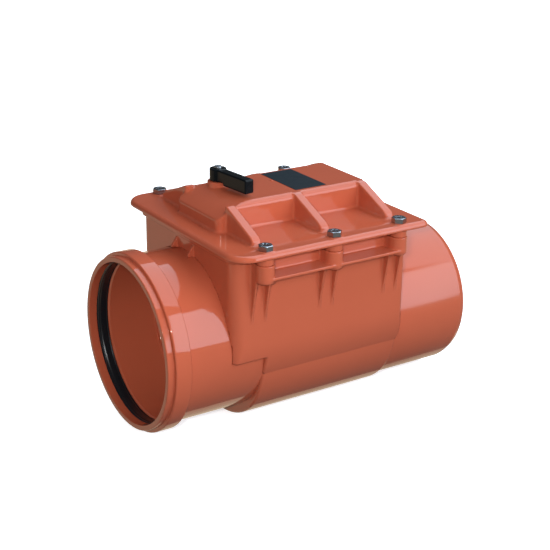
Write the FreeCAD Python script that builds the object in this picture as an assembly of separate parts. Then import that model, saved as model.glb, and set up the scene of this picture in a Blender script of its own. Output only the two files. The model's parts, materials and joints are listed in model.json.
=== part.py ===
import FreeCAD, Part
import math
import os

from FreeCAD import Vector

os.makedirs("parts", exist_ok=True)

# Backwater valve for a 160 mm drain pipe, in millimetres.
# X runs with the flow, from the inlet socket to the outlet spigot, and Z is up.
# The origin is on the socket's axis, at the stop that the inlet pipe's end meets.

# Pipe and socket
pipe_radius = 80.0
spigot_wall = 4.7
socket_clearance = 0.4
socket_wall = 4.5
socket_depth = 74.0
pipe_stop_step = 4.0
nozzle_wall = 4.5
lip_step = 1.7
lip_length = 6.7
lip_bore_clearance = 0.7
lip_edge = 1.0
bead_rise = 5.3
bead_length = 16.8
bead_edge = 1.6
bead_rear_edge = 0.6
groove_depth = 5.8
groove_start = 8.7
groove_length = 12.8
bore_lead_in = 1.5
seal_side_gap = 0.4
seal_back_gap = 0.2
seal_heel_height = 2.2
seal_heel_length = 2.5
seal_toe_height = 1.4
seal_toe_length = 3.5
sleeve_reach = 4.3

# Outlet pipe
outlet_drop = 13.0
spigot_length = 95.3
spigot_end_bevel = 2.3
spigot_bevel_length = 6.0
spigot_nose_length = 22.0
spigot_nose_edge = 1.0

# Chamber housing
glue_gap = 0.05
wall = 4.5
front_wall_setback = 6.5
chamber_length = 202.5
chamber_side_room = 11.0
chamber_front_corner = 13.0
chamber_rear_corner = 5.0
inner_corner_least = 0.5
chamber_floor = -6.0
side_straight_bottom = 12.0
side_curve_inset = 11.0
side_curve_bottom = -25.0
belly_step = 3.0
belly_setback = 38.3
rim_rise = 23.0
rim_thickness = 5.0
rim_overhang = 3.5

# Cover
gasket_thickness = 2.0
gasket_width = 5.5
gasket_cover_up = 0.5
cover_thickness = 6.0
cover_front_overhang = 10.0
cover_rear_overhang = 11.5
cover_side_overhang = 11.2
cover_front_corner = 23.0
cover_rear_corner = 7.0
cover_edge_round = 4.6
dome_wall = 4.0
dome_front_setback = 13.5
dome_half_width = 40.5
dome_rise = 26.4
dome_front_rise = 13.0
dome_slope_length = 14.0
dome_edge_round = 4.0
dome_corner_round = 7.0
dome_inner_corner_least = 1.0
rib_width = 10.0
rib_toe_inset = 14.8
rib_toe_height = 7.0
rib_toe_bevel = 3.0
rib_top_drop = 1.0
rib_edge_round = 1.6
pip_radius = 1.3
pip_height = 0.9
pip_offset = 3.0
pip_side = 7.0

# Cover screws, size M8
screw_front_inset = 27.5
screw_rear_inset = 19.6
screw_count_per_side = 3
screw_side_offset = 10.8
screw_radius = 4.0
screw_hole_clearance = 0.4
screw_hole_spare = 1.0
screw_length = 26.0
head_across_flats = 13.0
head_height = 5.3
head_top_bevel = 0.9
head_bevel_angle = 30.0
recess_depth = 2.4
recess_arm = 3.6
recess_width = 1.5
pad_height = 0.4
cover_boss_radius = 8.4
housing_boss_radius = 9.0
boss_joint_drop = 5.5
boss_length = 18.8
boss_bottom_round = 3.0
boss_bridge_width = 10.8
insert_radius = 5.6
insert_length = 13.0
insert_clearance = 0.05
thread_clearance = 0.05
boss_pocket_clearance = 0.4

# Ledge and ribs on the housing's sides
ledge_drop = 17.6
ledge_thickness = 3.2
ledge_setback = 0.2
buttress_spacing = 15.0
buttress_thickness = 2.5
buttress_depth = 9.0
buttress_length = 43.7
gusset_spacing = 32.0
gusset_thickness = 3.0
gusset_height = 9.0
gusset_length = 7.0
gusset_toe_height = 1.0

# Label
label_offset = 2.3
label_length = 37.0
label_half_width = 32.0
label_thickness = 0.4

# Flap and its seat
seat_position = 40.0
seat_tilt = 10.0
flap_edge_inset = 0.7
flap_gap = 0.3
flap_seal_thickness = 3.7
flap_seal_width = 5.2
flap_plate = 5.0
flap_seal_lip = 0.8
retainer_width = 16.3
retainer_thickness = 2.6
retainer_gap = 0.3
retainer_screw_count = 8
retainer_screw_radius = 1.5
retainer_screw_head_radius = 2.9
retainer_screw_head_height = 1.6
retainer_screw_length = 4.5
flap_rib_height = 6.0
flap_rib_width = 4.0
flap_rib_spacing = 38.0
flap_rib_inset = 4.0
flap_arm_length = 52.0
hinge_setback = 7.0
hinge_rise = 12.2
hinge_pin_radius = 4.0
running_gap = 0.05
bush_wall = 2.0
bush_fit = 0.02
eye_radius = 7.3
eye_width = 8.0
eye_side_gap = 0.5
bracket_ear_thickness = 6.0
bracket_ear_radius = 7.0
bracket_base_thickness = 3.5
bracket_base_start = 6.0
bracket_base_length = 17.0
bracket_web_setback = 2.0
pad_rise = 4.5
pin_head_radius = 6.0
pin_head_height = 1.5
pin_end_gap = 0.3
clip_groove_depth = 0.8
clip_thickness = 1.2
clip_width = 3.0
clip_slot = 5.0
bracket_screw_spacing = 24.0
bracket_screw_radius = 2.0
bracket_screw_length = 11.0
bracket_screw_head_radius = 3.8
bracket_screw_head_height = 2.6

# Lock lever
lever_x = 44.7
lever_y = 22.9
lever_bearing_radius = 10.7
lever_bearing_height = 4.8
lever_guide_depth = 25.4
shaft_radius = 6.0
shaft_step_radius = 5.0
shaft_square = 8.0
shaft_square_height = 8.0
shaft_square_end_gap = 0.3
handle_gap = 0.3
handle_hub_radius = 8.5
handle_height = 11.2
handle_hub_rise = 1.2
handle_length = 51.0
handle_width = 10.6
handle_turn = 6.0
handle_edge_round = 1.5
hub_edge_round = 0.9
square_clearance = 0.05
lever_screw_radius = 2.5
lever_screw_length = 14.0
lever_screw_head_radius = 4.2
lever_screw_head_height = 2.4
lever_screw_head_round = 1.4
lever_screw_recess_arm = 2.2
lever_screw_recess_width = 1.05
lever_screw_recess_depth = 1.2
o_ring_width = 2.4
o_ring_depth = 1.7
o_ring_first_drop = 6.0
o_ring_pitch = 9.0
washer_radius = 10.0
washer_thickness = 1.4
finger_gap = 0.3
finger_thickness = 5.0
finger_reach = 17.0
finger_width = 9.0
finger_hub_radius = 7.0
toe_reach = 5.5
roll_pin_radius = 1.25
roll_pin_gap = 0.03
roll_pin_setback = 0.3

# How far a fused shape runs into its neighbour, a cutting shape runs past its cut,
# and a shape reaches that only has to be larger than the whole valve
weld = 1.0
overcut = 1.0
far = 5 * pipe_radius
edge_search = 0.1

# Sizes that follow from the ones above
socket_bore_radius = pipe_radius + socket_clearance
socket_radius = socket_bore_radius + socket_wall
inlet_bore_radius = pipe_radius - pipe_stop_step
nozzle_radius = inlet_bore_radius + nozzle_wall
lip_radius = socket_radius + lip_step
lip_bore_radius = socket_bore_radius + lip_bore_clearance
bead_radius = socket_radius + bead_rise
groove_radius = socket_bore_radius + groove_depth
mouth = -socket_depth
groove_front = mouth + groove_start
groove_back = groove_front + groove_length
chamber_front = -front_wall_setback
chamber_rear = chamber_front + chamber_length
chamber_half_width = pipe_radius + chamber_side_room
side_curve_radius = chamber_half_width - side_curve_inset
belly_radius = pipe_radius + belly_step
belly_start = chamber_front + belly_setback
sleeve_end = belly_start + wall
rim_top = pipe_radius + rim_rise
cover_bottom = rim_top + gasket_thickness
cover_top = cover_bottom + cover_thickness
cover_front = chamber_front - cover_front_overhang
cover_rear = chamber_rear + cover_rear_overhang
screw_half_spacing = chamber_half_width + screw_side_offset
cover_half_width = screw_half_spacing + cover_side_overhang
screw_first = chamber_front + screw_front_inset
screw_last = chamber_rear - screw_rear_inset
screw_pitch = (screw_last - screw_first) / (screw_count_per_side - 1)
screw_seat = cover_top + pad_height
boss_joint = rim_top - boss_joint_drop
boss_bottom = boss_joint - boss_length
ledge_top = rim_top - ledge_drop
ledge_half_width = screw_half_spacing + housing_boss_radius - ledge_setback
buttress_bottom = boss_bottom - buttress_length
dome_front = chamber_front + dome_front_setback
dome_rear = screw_last + rib_width / 2
dome_top = cover_top + dome_rise
dome_front_wall_top = cover_top + dome_front_rise
rib_toe_half_width = screw_half_spacing - rib_toe_inset
label_start = screw_first + screw_pitch + label_offset
tilt = math.radians(seat_tilt)
flap_radius = nozzle_radius - flap_edge_inset
flap_seal_inner = flap_radius - flap_seal_width
retainer_outer = flap_seal_inner - retainer_gap
retainer_inner = retainer_outer - retainer_width
seal_face = flap_gap
plate_front = seal_face + flap_seal_thickness
plate_back = plate_front + flap_plate
flap_rib_back = plate_back + flap_rib_height
hinge_v = flap_radius + hinge_rise
hinge_x = seat_position + hinge_setback * math.cos(tilt) - hinge_v * math.sin(tilt)
hinge_z = hinge_setback * math.sin(tilt) + hinge_v * math.cos(tilt)
eye_inner = lever_y - eye_width / 2
eye_outer = lever_y + eye_width / 2
ear_inner = eye_outer + eye_side_gap
ear_outer = ear_inner + bracket_ear_thickness
bush_radius = hinge_pin_radius + running_gap + bush_wall
pad_top = nozzle_radius + pad_rise
bracket_base_end = bracket_base_start + bracket_base_length
bracket_seat = pad_top + bracket_base_thickness
bracket_screw_x = (bracket_base_start + bracket_base_end) / 2
bracket_screw_bottom = bracket_seat - bracket_screw_length
clip_groove = ear_outer + pin_end_gap
pin_groove_radius = hinge_pin_radius - clip_groove_depth
finger_bottom = hinge_z + eye_radius + finger_gap
finger_top = finger_bottom + finger_thickness
roll_pin_height = finger_bottom + finger_thickness / 2
lever_guide_bottom = dome_top - lever_guide_depth
bearing_top = dome_top + lever_bearing_height
handle_bottom = bearing_top + handle_gap
handle_top = handle_bottom + handle_height
hub_top = handle_top + handle_hub_rise
square_top = handle_bottom + shaft_square_height - shaft_square_end_gap
lever_screw_top = hub_top + lever_screw_head_height
washer_bottom = lever_guide_bottom - handle_gap - washer_thickness
shaft_clip_bottom = washer_bottom - clip_thickness
shaft_groove_radius = shaft_radius - clip_groove_depth


def block(x0, x1, y0, y1, z0, z1):
    return Part.makeBox(x1 - x0, y1 - y0, z1 - z0, Vector(x0, y0, z0))


def cylinder_x(radius, x0, x1, y=0.0, z=0.0):
    return Part.makeCylinder(radius, x1 - x0, Vector(x0, y, z), Vector(1, 0, 0))


def cylinder_y(radius, y0, y1, x, z):
    return Part.makeCylinder(radius, y1 - y0, Vector(x, y0, z), Vector(0, 1, 0))


def cylinder_z(radius, z0, z1, x, y):
    return Part.makeCylinder(radius, z1 - z0, Vector(x, y, z0), Vector(0, 0, 1))


def tube_z(outer, inner, z0, z1, x, y):
    return cylinder_z(outer, z0, z1, x, y).cut(cylinder_z(inner, z0, z1, x, y))


def solid_from(points, sweep):
    """A prism: the closed outline through the points, swept along a vector."""
    return Part.Face(Part.makePolygon(points + [points[0]])).extrude(sweep)


def arc_edge(centre, radius, start, end, plane):
    """An arc about centre from angle start to angle end, in the plane of the two unit vectors."""
    across, upward = plane
    spots = []
    for share in (0.0, 0.5, 1.0):
        angle = math.radians(start + (end - start) * share)
        spots.append(centre + across * (radius * math.cos(angle)) + upward * (radius * math.sin(angle)))
    return Part.Arc(*spots).toShape()


def rounded_plan(x0, x1, half, front_corner, rear_corner, z0, z1):
    """A box with rounded upright edges, symmetric about the XZ plane."""
    plane = (Vector(1, 0, 0), Vector(0, 1, 0))
    corners = [
        (Vector(x1 - rear_corner, half - rear_corner, z0), rear_corner, 90, 0),
        (Vector(x1 - rear_corner, rear_corner - half, z0), rear_corner, 0, -90),
        (Vector(x0 + front_corner, front_corner - half, z0), front_corner, -90, -180),
        (Vector(x0 + front_corner, half - front_corner, z0), front_corner, -180, -270),
    ]
    arcs = [arc_edge(centre, radius, start, end, plane) for centre, radius, start, end in corners]
    edges = []
    for index, arc in enumerate(arcs):
        following = arcs[(index + 1) % len(arcs)]
        edges.append(arc)
        edges.append(Part.makeLine(arc.Vertexes[1].Point, following.Vertexes[0].Point))
    outline = Part.Wire(Part.__sortEdges__(edges))
    return Part.Face(outline).extrude(Vector(0, 0, z1 - z0))


def turned(points):
    """A solid of revolution about the X axis, from (x, radius) points of its half section."""
    section = [Vector(x, 0, radius) for x, radius in points]
    face = Part.Face(Part.makePolygon(section + [section[0]]))
    return face.revolve(Vector(0, 0, 0), Vector(1, 0, 0), 360)


def edges_where(shape, test):
    return [edge for edge in shape.Edges if test(edge)]


def top_edges(shape, top):
    """The edges that lie at height top."""
    return edges_where(shape, lambda edge: edge.BoundBox.ZMin > top - edge_search)


def joined(shapes):
    return shapes[0].multiFuse(shapes[1:]).removeSplitter()


def cross_recess(x, y, top, depth, arm, width):
    """The two crossed slots of a cross recess, as cutting blocks."""
    slots = []
    for half_x, half_y in ((arm, width / 2), (width / 2, arm)):
        slots.append(block(x - half_x, x + half_x, y - half_y, y + half_y, top - depth, top + overcut))
    return slots


def screw_places():
    """The X and Y of each cover screw."""
    places = []
    for side in (-1, 1):
        for index in range(screw_count_per_side):
            places.append((screw_first + index * screw_pitch, side * screw_half_spacing))
    return places


def to_seat(shape):
    """Moves a shape from the seat's own frame, X off the seat and Z up along it, to its place."""
    moved = shape.copy()
    moved.rotate(Vector(0, 0, 0), Vector(0, 1, 0), -seat_tilt)
    moved.translate(Vector(seat_position, 0, 0))
    return moved


def save(name, shapes):
    """Writes one sub-part, as one solid or a group of separate solids."""
    solids = [solid for shape in shapes for solid in shape.Solids]
    for solid in solids:
        if not solid.isValid():
            raise ValueError("solid of " + name + " is not valid")
    whole = solids[0] if len(solids) == 1 else Part.makeCompound(solids)
    whole.exportStep("parts/" + name + ".step")
    box = whole.BoundBox
    reach = [round(v, 1) for v in (box.XMin, box.XMax, box.YMin, box.YMax, box.ZMin, box.ZMax)]
    print(name, len(solids), "solids", round(whole.Volume), "mm3", reach)


# Chamber housing: the box with its round belly, rim, screw bosses, ledges and ribs


def side_section(half, curve, floor, x0, x1):
    """The chamber's cross-section: upright sides that curve inwards below, swept along X."""
    centre = half - curve
    plane = (Vector(0, 1, 0), Vector(0, 0, 1))
    dip = math.degrees(math.asin((side_straight_bottom - floor) / curve))
    right = arc_edge(Vector(x0, centre, side_straight_bottom), curve, 0, -dip, plane)
    left = arc_edge(Vector(x0, -centre, side_straight_bottom), curve, 180 + dip, 180, plane)
    corners = [
        Vector(x0, -half, side_straight_bottom),
        Vector(x0, -half, rim_top),
        Vector(x0, half, rim_top),
        Vector(x0, half, side_straight_bottom),
    ]
    edges = [Part.makeLine(corners[0], corners[1])]
    edges.append(Part.makeLine(corners[1], corners[2]))
    edges.append(Part.makeLine(corners[2], corners[3]))
    edges.append(right)
    edges.append(Part.makeLine(right.Vertexes[1].Point, left.Vertexes[0].Point))
    edges.append(left)
    outline = Part.Wire(Part.__sortEdges__(edges))
    return Part.Face(outline).extrude(Vector(x1 - x0, 0, 0))


def chamber_outside():
    half = chamber_half_width
    bottom = side_curve_bottom
    box = rounded_plan(chamber_front, chamber_rear, half, chamber_front_corner, chamber_rear_corner,
                       bottom, rim_top)
    box = box.common(side_section(half, side_curve_radius, bottom, chamber_front, chamber_rear))
    box = box.cut(block(chamber_front - overcut, belly_start, -half, half, bottom - overcut, chamber_floor))
    belly = cylinder_x(belly_radius, belly_start, chamber_rear, 0, -outlet_drop)
    rim = rounded_plan(chamber_front - rim_overhang, chamber_rear + rim_overhang, half + rim_overhang,
                       chamber_front_corner + rim_overhang, chamber_rear_corner + rim_overhang,
                       rim_top - rim_thickness, rim_top)
    return box.fuse(belly).fuse(rim)


def chamber_inside():
    half = chamber_half_width - wall
    bottom = side_curve_bottom
    top = rim_top + overcut
    box = rounded_plan(chamber_front + wall, chamber_rear - wall, half, chamber_front_corner - wall,
                       max(chamber_rear_corner - wall, inner_corner_least), bottom, top)
    section = side_section(half, side_curve_radius - wall, bottom, chamber_front, chamber_rear)
    mouth_block = block(chamber_front, chamber_rear, -half, half, rim_top - weld, top)
    box = box.common(section.fuse(mouth_block))
    box = box.cut(block(chamber_front, sleeve_end, -half, half, bottom - overcut, chamber_floor + wall))
    belly = cylinder_x(belly_radius - wall, sleeve_end, chamber_rear + overcut, 0, -outlet_drop)
    return box.fuse(belly)


def housing_boss(x, y):
    """A screw boss on the housing's side, rounded at its foot, with its two tapered ribs."""
    side = math.copysign(1, y)
    boss = cylinder_z(housing_boss_radius, boss_bottom, boss_joint, x, y)
    foot = edges_where(boss, lambda edge: edge.BoundBox.ZMax < boss_bottom + edge_search
                       and len(edge.Vertexes) == 1)
    boss = boss.makeFillet(boss_bottom_round, foot)
    inside = side * (chamber_half_width - wall / 2)
    low, high = sorted((inside, side * screw_half_spacing))
    bridge_bottom = boss_bottom + boss_bottom_round
    half_bridge = boss_bridge_width / 2
    pieces = [boss, block(x - half_bridge, x + half_bridge, low, high, bridge_bottom, boss_joint)]
    reach = side * (chamber_half_width + buttress_depth)
    rib_top = boss_joint - weld
    for step in (-0.5, 0.5):
        left = x + step * buttress_spacing - buttress_thickness / 2
        pieces.append(block(left, left + buttress_thickness, low, high, bridge_bottom, boss_joint))
        taper = [
            Vector(left, inside, rib_top),
            Vector(left, reach, rib_top),
            Vector(left, reach, boss_bottom),
            Vector(left, side * chamber_half_width, buttress_bottom),
            Vector(left, inside, buttress_bottom),
        ]
        pieces.append(solid_from(taper, Vector(buttress_thickness, 0, 0)))
    return pieces


def ledge(side):
    low, high = sorted((side * (chamber_half_width - wall / 2), side * ledge_half_width))
    return block(screw_first, screw_last, low, high, ledge_top - ledge_thickness, ledge_top)


def gusset(side):
    """A small triangular rib between the housing's front wall and the top of the socket."""
    middle = gusset_spacing / 2
    y = side * middle - gusset_thickness / 2
    foot = math.sqrt(socket_radius ** 2 - (middle + gusset_thickness / 2) ** 2) - weld
    corner = math.sqrt(socket_radius ** 2 - middle ** 2)
    back = chamber_front + wall / 2
    tip = chamber_front - gusset_length
    outline = [
        Vector(back, y, foot),
        Vector(tip, y, foot),
        Vector(tip, y, corner + gusset_toe_height),
        Vector(chamber_front - weld, y, corner + gusset_height),
        Vector(back, y, corner + gusset_height),
    ]
    rib = solid_from(outline, Vector(0, gusset_thickness, 0))
    return rib.cut(cylinder_x(socket_radius + glue_gap, -far, chamber_rear))


def chamber_housing():
    opening = cylinder_x(socket_radius + glue_gap, chamber_front - overcut, sleeve_end)
    pieces = [chamber_outside().cut(chamber_inside()).cut(opening)]
    for x, y in screw_places():
        pieces.extend(housing_boss(x, y))
    pieces.extend([ledge(-1), ledge(1), gusset(-1), gusset(1)])
    housing = joined(pieces)
    for x, y in screw_places():
        pocket = cylinder_z(cover_boss_radius + boss_pocket_clearance, boss_joint, rim_top + overcut, x, y)
        insert = cylinder_z(insert_radius + insert_clearance, boss_joint - insert_length,
                            boss_joint + overcut, x, y)
        tail = cylinder_z(screw_radius + screw_hole_clearance,
                          screw_seat - screw_length - screw_hole_spare, boss_joint, x, y)
        housing = housing.cut(pocket).cut(insert).cut(tail)
    return housing.removeSplitter()


# Inlet socket with the nozzle that ends in the flap's seat


def seat_half_space():
    """Everything downstream of the seat's plane."""
    return to_seat(block(0, far, -far, far, -far, far))


def socket_outline():
    """The half section of the socket and nozzle, from the mouth's inside edge and round the outside."""
    bead_start = mouth + lip_length
    bead_end = bead_start + bead_length
    nozzle_end = seat_position + pipe_radius
    return [
        (mouth, lip_bore_radius + lip_edge),
        (mouth, lip_radius - lip_edge),
        (mouth + lip_edge, lip_radius),
        (bead_start - lip_edge, lip_radius),
        (bead_start, lip_radius + lip_edge),
        (bead_start, bead_radius - bead_edge),
        (bead_start + bead_edge, bead_radius),
        (bead_end - bead_rear_edge, bead_radius),
        (bead_end, bead_radius - bead_rear_edge),
        (bead_end, socket_radius),
        (sleeve_end, socket_radius),
        (sleeve_end, nozzle_radius),
        (nozzle_end, nozzle_radius),
        (nozzle_end, inlet_bore_radius),
        (0.0, inlet_bore_radius),
        (0.0, socket_bore_radius),
        (groove_back + bore_lead_in, socket_bore_radius),
        (groove_back, socket_bore_radius + bore_lead_in),
        (groove_back, groove_radius),
        (groove_front, groove_radius),
        (groove_front, lip_bore_radius),
        (mouth + lip_edge, lip_bore_radius),
    ]


def inlet_socket():
    body = turned(socket_outline())
    sleeve_top_end = chamber_front + wall + sleeve_reach
    relief = block(sleeve_top_end, sleeve_end + overcut, -far, far, chamber_floor + wall, far)
    body = body.cut(relief.cut(cylinder_x(nozzle_radius, -far, far)))
    pad = block(sleeve_top_end - weld, bracket_base_end, -ear_outer, ear_outer, 0, pad_top)
    pad = pad.cut(cylinder_x(inlet_bore_radius + nozzle_wall / 2, -far, far))
    body = body.fuse(pad)
    body = body.cut(seat_half_space())
    for side in (-0.5, 0.5):
        body = body.cut(cylinder_z(bracket_screw_radius + thread_clearance,
                                   bracket_screw_bottom - thread_clearance, pad_top + overcut,
                                   bracket_screw_x, side * bracket_screw_spacing))
    return body.removeSplitter()


def socket_seal():
    """The ring in the socket's groove, in the shape that the inserted pipe gives it."""
    front = groove_front + seal_side_gap
    back = groove_back - seal_side_gap
    outside = groove_radius - seal_back_gap
    inside = socket_bore_radius + seal_back_gap
    outline = [
        (front, outside),
        (back, outside),
        (back, inside + seal_heel_height),
        (back - seal_heel_length, inside),
        (front + seal_toe_length, inside),
        (front, inside + seal_toe_height),
    ]
    return turned(outline)


# Outlet spigot


def outlet_spigot():
    nose_radius = belly_radius - wall - glue_gap
    start = chamber_rear - spigot_nose_length
    shoulder = chamber_rear + glue_gap
    end = chamber_rear + spigot_length
    bore = pipe_radius - spigot_wall
    outline = [
        (start, bore),
        (start, nose_radius - spigot_nose_edge),
        (start + spigot_nose_edge, nose_radius),
        (shoulder, nose_radius),
        (shoulder, pipe_radius),
        (end - spigot_bevel_length, pipe_radius),
        (end, pipe_radius - spigot_end_bevel),
        (end, bore),
    ]
    pipe = turned(outline)
    pipe.translate(Vector(0, 0, -outlet_drop))
    return pipe


# Cover


def dome_block(inset, bottom):
    """The cover's raised middle, shrunk by inset for its hollow."""
    x0 = dome_front + inset
    x1 = dome_rear - inset
    half = dome_half_width - inset
    top = dome_top - inset
    corner = max(dome_corner_round - inset, dome_inner_corner_least)
    body = rounded_plan(x0, x1, half, corner, corner, bottom, top)
    drop = dome_top - dome_front_wall_top
    slope_start = x0 - overcut
    slope_end = x0 + dome_slope_length
    slope = [
        Vector(slope_start, -far, top - drop * (slope_end - slope_start) / dome_slope_length),
        Vector(slope_end, -far, top),
        Vector(slope_end, -far, top + drop),
        Vector(slope_start, -far, top + drop),
    ]
    return body.cut(solid_from(slope, Vector(0, 2 * far, 0)))


def cover_rib(x, side):
    """One sloping rib between the dome's top edge and the flange, beside a screw."""
    left = x - rib_width / 2
    high = dome_top - rib_top_drop
    foot = cover_top - weld
    toe_top = cover_top + rib_toe_height
    points = [
        Vector(left, 0, foot),
        Vector(left, 0, high),
        Vector(left, side * dome_half_width, high),
        Vector(left, side * (rib_toe_half_width - rib_toe_bevel), toe_top),
        Vector(left, side * rib_toe_half_width, toe_top - rib_toe_bevel),
        Vector(left, side * rib_toe_half_width, foot),
    ]
    rib = solid_from(points, Vector(rib_width, 0, 0))
    slope_edges = edges_where(rib, lambda edge: edge.BoundBox.ZLength > rib_toe_height
                              and edge.BoundBox.YLength > rib_toe_height
                              and edge.BoundBox.XLength < edge_search)
    return rib.makeFillet(rib_edge_round, slope_edges)


def cover():
    flange = rounded_plan(cover_front, cover_rear, cover_half_width, cover_front_corner,
                          cover_rear_corner, cover_bottom, cover_top)
    flange = flange.makeFillet(cover_edge_round, top_edges(flange, cover_top))
    dome = dome_block(0, cover_bottom + weld)
    dome = dome.makeFillet(dome_edge_round, top_edges(dome, dome_top))
    pieces = [flange, dome]
    for x, y in screw_places():
        pieces.append(cover_rib(x, math.copysign(1, y)))
        pieces.append(cylinder_z(cover_boss_radius, boss_joint, screw_seat, x, y))
    pieces.append(cylinder_z(lever_bearing_radius, dome_top - dome_wall, bearing_top, lever_x, lever_y))
    pieces.append(cylinder_z(pip_radius, dome_top - weld, dome_top + pip_height,
                             label_start - pip_offset, pip_side))
    body = joined(pieces)
    body = body.cut(dome_block(dome_wall, cover_bottom - overcut))
    body = body.fuse(cylinder_z(lever_bearing_radius, lever_guide_bottom, dome_top - dome_wall / 2,
                                lever_x, lever_y))
    body = body.cut(cylinder_z(shaft_radius + running_gap, lever_guide_bottom - overcut,
                               bearing_top + overcut, lever_x, lever_y))
    for x, y in screw_places():
        body = body.cut(cylinder_z(screw_radius + screw_hole_clearance, boss_joint - overcut,
                                   screw_seat + overcut, x, y))
    return body.removeSplitter()


def cover_gasket():
    """The flat ring between the housing's rim and the cover."""
    cover_up = gasket_cover_up
    front = chamber_front + wall - cover_up
    rear = chamber_rear - wall + cover_up
    half = chamber_half_width - wall + cover_up
    outer = rounded_plan(front - gasket_width, rear + gasket_width, half + gasket_width,
                         chamber_front_corner, chamber_rear_corner, rim_top, cover_bottom)
    inner = rounded_plan(front, rear, half, chamber_front_corner - wall, chamber_rear_corner - wall / 2,
                         rim_top - overcut, cover_bottom + overcut)
    return outer.cut(inner)


def blank_label():
    return block(label_start, label_start + label_length, -label_half_width, label_half_width,
                 dome_top, dome_top + label_thickness)


# Cover screws and the threaded inserts they turn in


def hex_screw(x, y):
    """A hexagon head with a cross recess, on a plain shank of the thread's outside size."""
    corner_radius = head_across_flats / math.sqrt(3)
    corners = []
    for index in range(6):
        angle = index * math.pi / 3
        corners.append(Vector(x + corner_radius * math.cos(angle), y + corner_radius * math.sin(angle),
                              screw_seat))
    head = solid_from(corners, Vector(0, 0, head_height))
    crown_top = corner_radius - head_top_bevel
    crown_foot = crown_top + head_height / math.tan(math.radians(head_bevel_angle))
    head = head.common(Part.makeCone(crown_foot, crown_top, head_height, Vector(x, y, screw_seat)))
    for slot in cross_recess(x, y, screw_seat + head_height, recess_depth, recess_arm, recess_width):
        head = head.cut(slot)
    return head.fuse(cylinder_z(screw_radius, screw_seat - screw_length, screw_seat, x, y))


def cover_screws():
    return [hex_screw(x, y) for x, y in screw_places()]


def threaded_inserts():
    bore = screw_radius + thread_clearance
    return [tube_z(insert_radius, bore, boss_joint - insert_length, boss_joint, x, y)
            for x, y in screw_places()]


# Flap, seal and hinge


def seat_normal():
    return Vector(math.cos(tilt), 0, math.sin(tilt))


def retainer_screw_spots(lift):
    """Points on the screw axes, this far off the plate's upstream face."""
    ring = (retainer_inner + flap_seal_inner) / 2
    spots = []
    for index in range(retainer_screw_count):
        angle = 2 * math.pi * (index + 0.5) / retainer_screw_count
        across = ring * math.cos(angle)
        upward = ring * math.sin(angle)
        off = plate_front - lift
        x = seat_position + off * math.cos(tilt) - upward * math.sin(tilt)
        z = off * math.sin(tilt) + upward * math.cos(tilt)
        spots.append(Vector(x, across, z))
    return spots


def flap_disc():
    inner_radius = flap_radius - flap_rib_inset
    upright_reach = math.sqrt(inner_radius ** 2 - (flap_rib_spacing / 2 + flap_rib_width) ** 2)
    cross_reach = math.sqrt(inner_radius ** 2 - flap_rib_width ** 2)
    rib_start = plate_front + weld
    half_rib = flap_rib_width / 2
    pieces = [cylinder_x(flap_radius, plate_front, plate_back)]
    for side in (-0.5, 0.5):
        y = side * flap_rib_spacing
        pieces.append(block(rib_start, flap_rib_back, y - half_rib, y + half_rib,
                            -upright_reach, upright_reach))
    pieces.append(block(rib_start, flap_rib_back, -cross_reach, cross_reach, -half_rib, half_rib))
    for side in (-1, 1):
        y0 = side * lever_y - eye_width / 2
        pieces.append(cylinder_y(eye_radius, y0, y0 + eye_width, hinge_setback, hinge_v))
        pieces.append(block(plate_front, flap_rib_back, y0, y0 + eye_width,
                            hinge_v - flap_arm_length, hinge_v))
    disc = to_seat(joined(pieces))
    toe_top = hinge_z + eye_radius
    disc = disc.fuse(block(hinge_x, hinge_x + toe_reach, eye_inner, eye_outer,
                           toe_top - finger_thickness, toe_top))
    disc = disc.cut(cylinder_y(bush_radius + bush_fit, -far, far, hinge_x, hinge_z))
    for spot in retainer_screw_spots(0):
        disc = disc.cut(Part.makeCylinder(retainer_screw_radius + thread_clearance,
                                          retainer_screw_length + thread_clearance, spot, seat_normal()))
    return disc.removeSplitter()


def flap_seal():
    """The rubber ring on the flap, with a raised lip where it meets the seat."""
    base = cylinder_x(flap_radius, seal_face + flap_seal_lip, plate_front)
    bore = cylinder_x(flap_seal_inner, -overcut, plate_front + overcut)
    seat_middle = (inlet_bore_radius / math.cos(tilt) + nozzle_radius) / 2
    lip = cylinder_x(seat_middle + flap_seal_lip, seal_face, plate_front)
    lip = lip.cut(cylinder_x(seat_middle - flap_seal_lip, -overcut, plate_front + overcut))
    ring = base.cut(bore).fuse(lip)
    return to_seat(ring.removeSplitter())


def seal_retainer():
    """The ring that clamps the flap's rubber to its plate."""
    ring = cylinder_x(retainer_outer, plate_front - retainer_thickness, plate_front)
    ring = ring.cut(cylinder_x(retainer_inner, -overcut, plate_front + overcut))
    ring = to_seat(ring)
    for spot in retainer_screw_spots(retainer_thickness + overcut):
        ring = ring.cut(Part.makeCylinder(retainer_screw_radius + thread_clearance,
                                          retainer_thickness + 2 * overcut, spot, seat_normal()))
    return ring


def retainer_screws():
    screws = []
    for start in retainer_screw_spots(retainer_thickness + retainer_screw_head_height):
        head = Part.makeCylinder(retainer_screw_head_radius, retainer_screw_head_height, start, seat_normal())
        shank = Part.makeCylinder(retainer_screw_radius, retainer_thickness + retainer_screw_length,
                                  start + seat_normal() * retainer_screw_head_height, seat_normal())
        screws.append(head.fuse(shank))
    return screws


def hinge_bushes():
    bore = hinge_pin_radius + running_gap
    bushes = []
    for side in (-1, 1):
        y0 = side * lever_y - eye_width / 2
        y1 = y0 + eye_width
        outer = cylinder_y(bush_radius, y0, y1, hinge_x, hinge_z)
        bushes.append(outer.cut(cylinder_y(bore, y0 - overcut, y1 + overcut, hinge_x, hinge_z)))
    return bushes


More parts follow.
